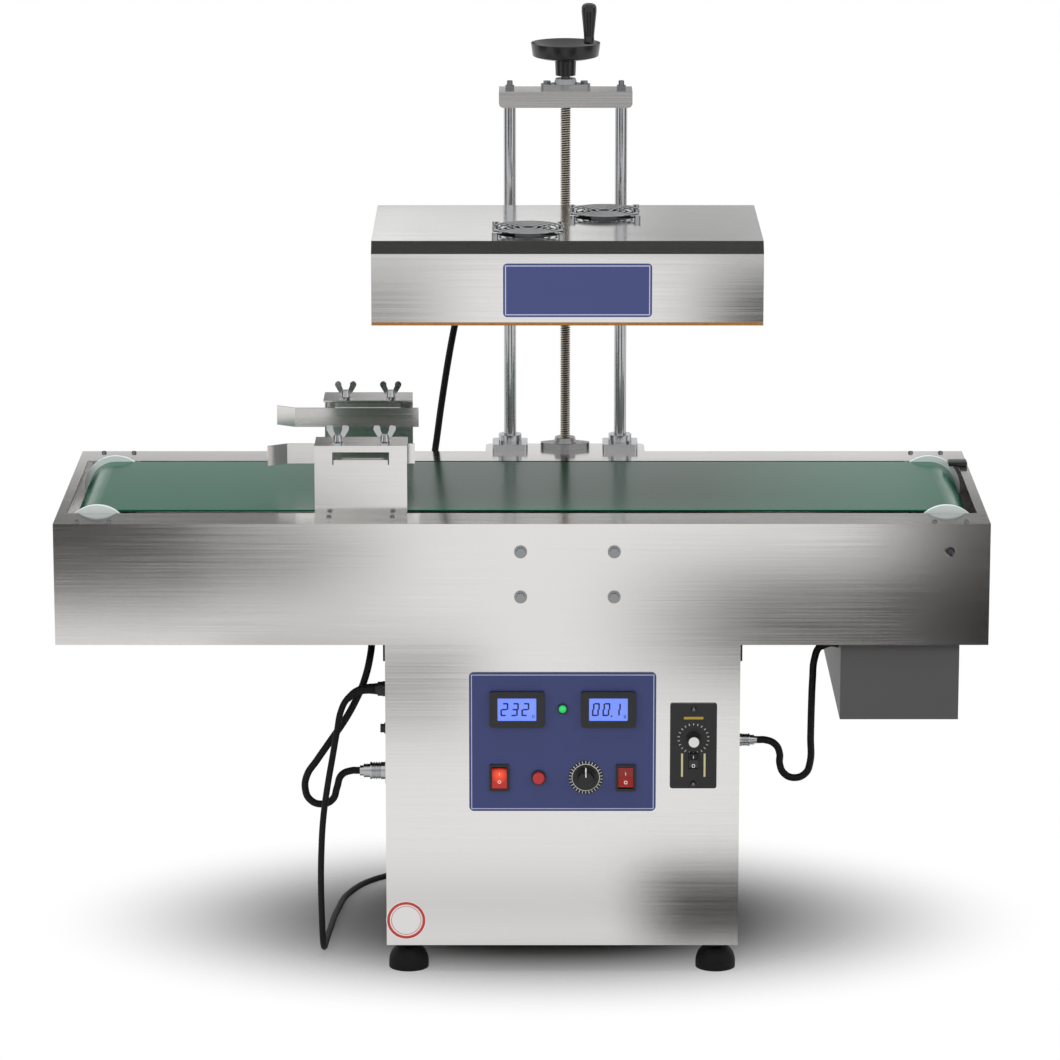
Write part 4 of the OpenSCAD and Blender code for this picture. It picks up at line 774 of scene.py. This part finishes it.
# Painted shade and highlight: near black up to the groove radius, near white from the crest radius outwards.
highlight_share = add(tree, "MapRange", {"Value": far, "From Min": groove_shade_r * mm, "From Max": crest_highlight_r * mm})
painted_groove_shade = add(tree, "MixRGB", {0: highlight_share.outputs[0], 1: srgb("#1c1815"), 2: srgb("#efe8dd")})
tree.links.new(painted_groove_shade.outputs[0], tree.nodes["Principled BSDF"].inputs["Base Color"])
dress(groove_shaded_steel, "lead_screw")
thread = bmesh.new()
bmesh.ops.create_circle(
    thread, cap_ends=False, segments=4, radius=ridge_half, matrix=Matrix.Rotation(math.pi / 2, 4, "X")
)
ridge_start = (thread_outer - ridge_half, 0, thread_low + thread_pitch)
bmesh.ops.translate(thread, vec=ridge_start, verts=thread.verts)
bmesh.ops.spin(
    thread, geom=thread.verts[:] + thread.edges[:], cent=(0, 0, 0), axis=(0, 0, 1),
    dvec=(0, 0, thread_pitch / turn_steps), angle=2 * math.pi * thread_turns, steps=thread_turns * turn_steps,
)
for low, high, radius in ((thread_low, thread_high, thread_root), (thread_high, journal_top, journal_r)):
    bmesh.ops.create_cone(
        thread, cap_ends=True, segments=28, radius1=radius, radius2=radius, depth=high - low,
        matrix=Matrix.Translation((0, 0, (low + high) / 2)),
    )
bmesh.ops.translate(thread, vec=(screw_x, screw_y, 0), verts=thread.verts)
thread_piece = piece("lead_screw_thread", thread, groove_shaded_steel, "handwheel")
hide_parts("lead_screw")

# Head: a welded stainless hood, polished brighter than the frame, over a brown pressed board, with the
# winding inside and two fans on top under wire guards.
polished_sheet = brushed("polished_stainless", "#e0dfde", 0.08, 0.18, "X")
dress(polished_sheet, "head_hood")

fibre_size = 3 * mm
pressed_board, tree, shader = surface("phenolic_board", "#9a6a32", Roughness=0.55)
place = add(tree, "TexCoord").outputs["Object"]
fibre = add(tree, "TexNoise", {"Vector": place, "Scale": 1 / fibre_size, "Detail": 3.0})
shade = add(tree, "ValToRGB", {"Fac": fibre.outputs["Fac"]})
shade.color_ramp.elements[0].color = srgb("#7d5020")
shade.color_ramp.elements[1].color = srgb("#b98343")
tree.links.new(shade.outputs[0], shader.inputs["Base Color"])
dress(pressed_board, "head_board")

wound_wire = brushed("wound_wire", "#a5632f", 0.3, 0.5, "X")
dress(wound_wire, "induction_coil")
fan_plastic = moulded("fan_plastic", "#19191b", 1 * mm, 0.35, 0.55)
dress(fan_plastic, "fan_frames", "left_rotor", "right_rotor")
guard_wire = brushed("guard_wire", "#a6a7a9", 0.05, 0.12, "Z")
dress(guard_wire, "fan_guards")

# Name plate: a thin blue printed plate with round corners and a pale border, stuck on the hood's front.
# It is left bare inside its border.
plate_x, plate_z, plate_proud = 68.5, 858.95, 0.3
plate_size, plate_corner = (183, 0.8, 66.7), 5
plate_border, plate_border_line = (88.5, 30.4), 1.2
plate_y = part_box("head_hood")[0].y / mm - plate_proud
name_plate = bmesh.new()
slab(name_plate, (plate_x, plate_y, plate_z), plate_size)
half_thick = plate_size[1] / 2
corners = [e for e in name_plate.edges if abs(e.verts[0].co.y - e.verts[1].co.y) > half_thick]
bmesh.ops.bevel(
    name_plate, geom=corners, offset=plate_corner, offset_type="OFFSET", segments=6, profile=0.5,
    affect="EDGES", material=-1,
)
plate_film = moulded("plate_film", "#424a7b", 1.5 * mm, 0.28, 0.42)
printed(plate_film, [([("box", plate_x, plate_z, *plate_border, plate_border_line)], "#c3c9e2")])
piece("name_plate", name_plate, plate_film, "head")

# Cords: black rubber flex with moulded sleeves at the ends. The head's cable hangs behind the conveyor and
# loops up to the side connector, the motor's makes a low loop, and the mains lead drops to the floor.
cable_d = 9 * mm
lead_d = 8 * mm
head_route = [
    (-72, 115.3, 844), (-72, 120, 844), (-72, 125, 844), (-72.5, 139, 840.5), (-74, 151, 830),
    (-77, 162, 813), (-82, 177, 780), (-95, 193, 710), (-106, 200, 640), (-114, 202, 582),
    (-124, 201, 520), (-140, 197, 455), (-160, 182, 412), (-178, 150, 404), (-192, 90, 404),
    (-198, 20, 405), (-196, -50, 405), (-190, -105, 404), (-190, -138, 390), (-198, -150, 358),
    (-208, -154, 335), (-222, -158, 310), (-240, -161, 284), (-258, -163, 258), (-270, -165, 240),
    (-272.5, -165, 222), (-266.6, -165, 207.9), (-252.5, -165, 202), (-238.4, -165, 207.9),
    (-232.5, -165, 224), (-226.6, -165, 240.1), (-212.5, -165, 246), (-208, -165, 246),
    (-203.5, -165, 246),
]
mains_route = [
    (-183.5, -165, 352), (-187.5, -165, 352), (-191.5, -165, 352), (-206.7, -166, 348.6),
    (-219.1, -168.5, 339.1), (-226.5, -172, 325), (-231.5, -177, 300), (-237, -183, 269),
    (-243.5, -188, 232), (-249, -191, 192), (-252, -191, 145), (-253, -186, 100), (-252.5, -181, 60),
    (-252, -173, 31), (-251.5, -157, 12.5), (-251, -134, 6), (-250, -107, 5), (-247, -60, 5),
    (-240.5, 20, 5), (-226, 100, 5), (-192, 160, 5), (-130, 200, 5), (-70, 227, 5), (-20, 233, 5),
]
motor_route = [
    (294.5, -165, 286), (299, -165, 286), (303.5, -165, 286), (317.6, -165, 280.1), (323.4, -165, 268),
    (323.5, -165, 255.5), (329.2, -165, 242.1), (342.5, -165, 236.5), (355.9, -165, 242.1),
    (361.5, -165, 255.5), (362, -165, 290), (362.5, -165, 330), (363.5, -165, 365), (365.6, -165, 391),
    (372, -165, 406.5), (385.5, -165, 413), (390.5, -165, 413), (395, -165, 413),
]


def flex(name, route, radii, steps):
    """Round rubber along a route in millimetres, with a radius at each point and steps between points."""
    line = bpy.data.curves.new(name, "CURVE")
    line.dimensions = "3D"
    line.bevel_depth = mm
    line.bevel_resolution = 5
    line.resolution_u = steps
    line.use_fill_caps = True
    spline = line.splines.new("BEZIER")
    spline.bezier_points.add(len(route) - 1)
    for point, place, radius in zip(spline.bezier_points, route, radii):
        point.co = Vector(place) * mm
        point.handle_left_type = point.handle_right_type = "AUTO"
        point.radius = radius
    line.materials.append(black_rubber)
    made = bpy.data.objects.new(name, line)
    bpy.context.collection.objects.link(made)
    return made


def cord(name, route, diameter):
    """Cord of one thickness."""
    return flex(name, route, [diameter / 2 / mm] * len(route), steps=6)


def sleeve(name, points, radii, body):
    """Tapered sleeve round the first points of a cord."""
    made = flex(name, points, radii, steps=8)
    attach(made, body)
    return made


cable_taper = (7.6, 7.0, 6.4, 4.9)
mains_taper = (6.8, 6.6, 6.3, 5.2, 4.3)
sleeve("head_sleeve", head_route[: len(cable_taper)], cable_taper, "head")
mains_sleeve = sleeve("mains_sleeve", mains_route[: len(mains_taper)], mains_taper, "base")
sleeve("motor_sleeve", motor_route[::-1][: len(cable_taper)], cable_taper, "base")
motor_cord = cord("motor_flex", motor_route, cable_d)
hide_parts("motor_cable")
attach(motor_cord, "base")

# Spare mains lead: coiled on the floor behind the cabinet, in two layers of two turns. It leaves for its plug
# at the back of the coil.
coil_low, coil_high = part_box("mains_coil")
coil_middle = (coil_low + coil_high) / 2 / mm
outer_turn, inner_turn = 46.4, 38.0
low_layer, high_layer = 4.6, 13.0
plug_offset, plug_z = 42.0, 12.0
plug_steps = (22, 37)
turn_ends = [
    (outer_turn, low_layer), (inner_turn, low_layer), (inner_turn, high_layer), (outer_turn, high_layer),
    (plug_offset, plug_z),
]
turn_points = 16
turn_count = len(turn_ends) - 1
turns = []
for i in range(turn_count * turn_points + 1):
    turn = min(i // turn_points, turn_count - 1)
    share = i / turn_points - turn
    step = max(0.0, (share - 0.5) / 0.5)
    step = step * step * (3 - 2 * step)
    radius = turn_ends[turn][0] + (turn_ends[turn + 1][0] - turn_ends[turn][0]) * step
    height = turn_ends[turn][1] + (turn_ends[turn + 1][1] - turn_ends[turn][1]) * step
    angle = math.pi / 2 - 2 * math.pi * i / turn_points
    x = coil_middle.x + radius * math.cos(angle)
    y = coil_middle.y + radius * math.sin(angle)
    turns.append((x, y, height))
turns += [(coil_middle.x + along, coil_middle.y + plug_offset, plug_z) for along in plug_steps]
mains_cord = cord("mains_flex", mains_route + turns, lead_d)
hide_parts("mains_lead", "mains_coil")
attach(mains_cord, "base")


def cord_line(cord_object):
    """Points along a cord's own line, close together."""
    fine_steps = 9
    points = cord_object.data.splines[0].bezier_points
    line = [points[0].co.copy()]
    for near, far in zip(points, points[1:]):
        line += interpolate_bezier(near.co, near.handle_right, far.handle_left, far.co, fine_steps)[1:]
    return line


def line_length(line):
    """Length of a line through its points."""
    return sum((b - a).length for a, b in zip(line, line[1:]))


bpy.context.view_layer.update()
line_length(cord_line(motor_cord))
line_length(cord_line(mains_cord))

# The head's cable is turned from its curve into a mesh, which runs from the head down behind the conveyor.
head_curve = cord("head_flex_line", head_route, cable_d)
bpy.context.view_layer.update()
head_line = cord_line(head_curve)
head_mesh = bpy.data.meshes.new_from_object(head_curve.evaluated_get(bpy.context.evaluated_depsgraph_get()))
head_cord = bpy.data.objects.new("head_flex", head_mesh)
bpy.context.collection.objects.link(head_cord)
bpy.data.objects.remove(head_curve)
for face in head_mesh.polygons:
    face.use_smooth = True
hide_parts("head_cable")
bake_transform(head_cord)
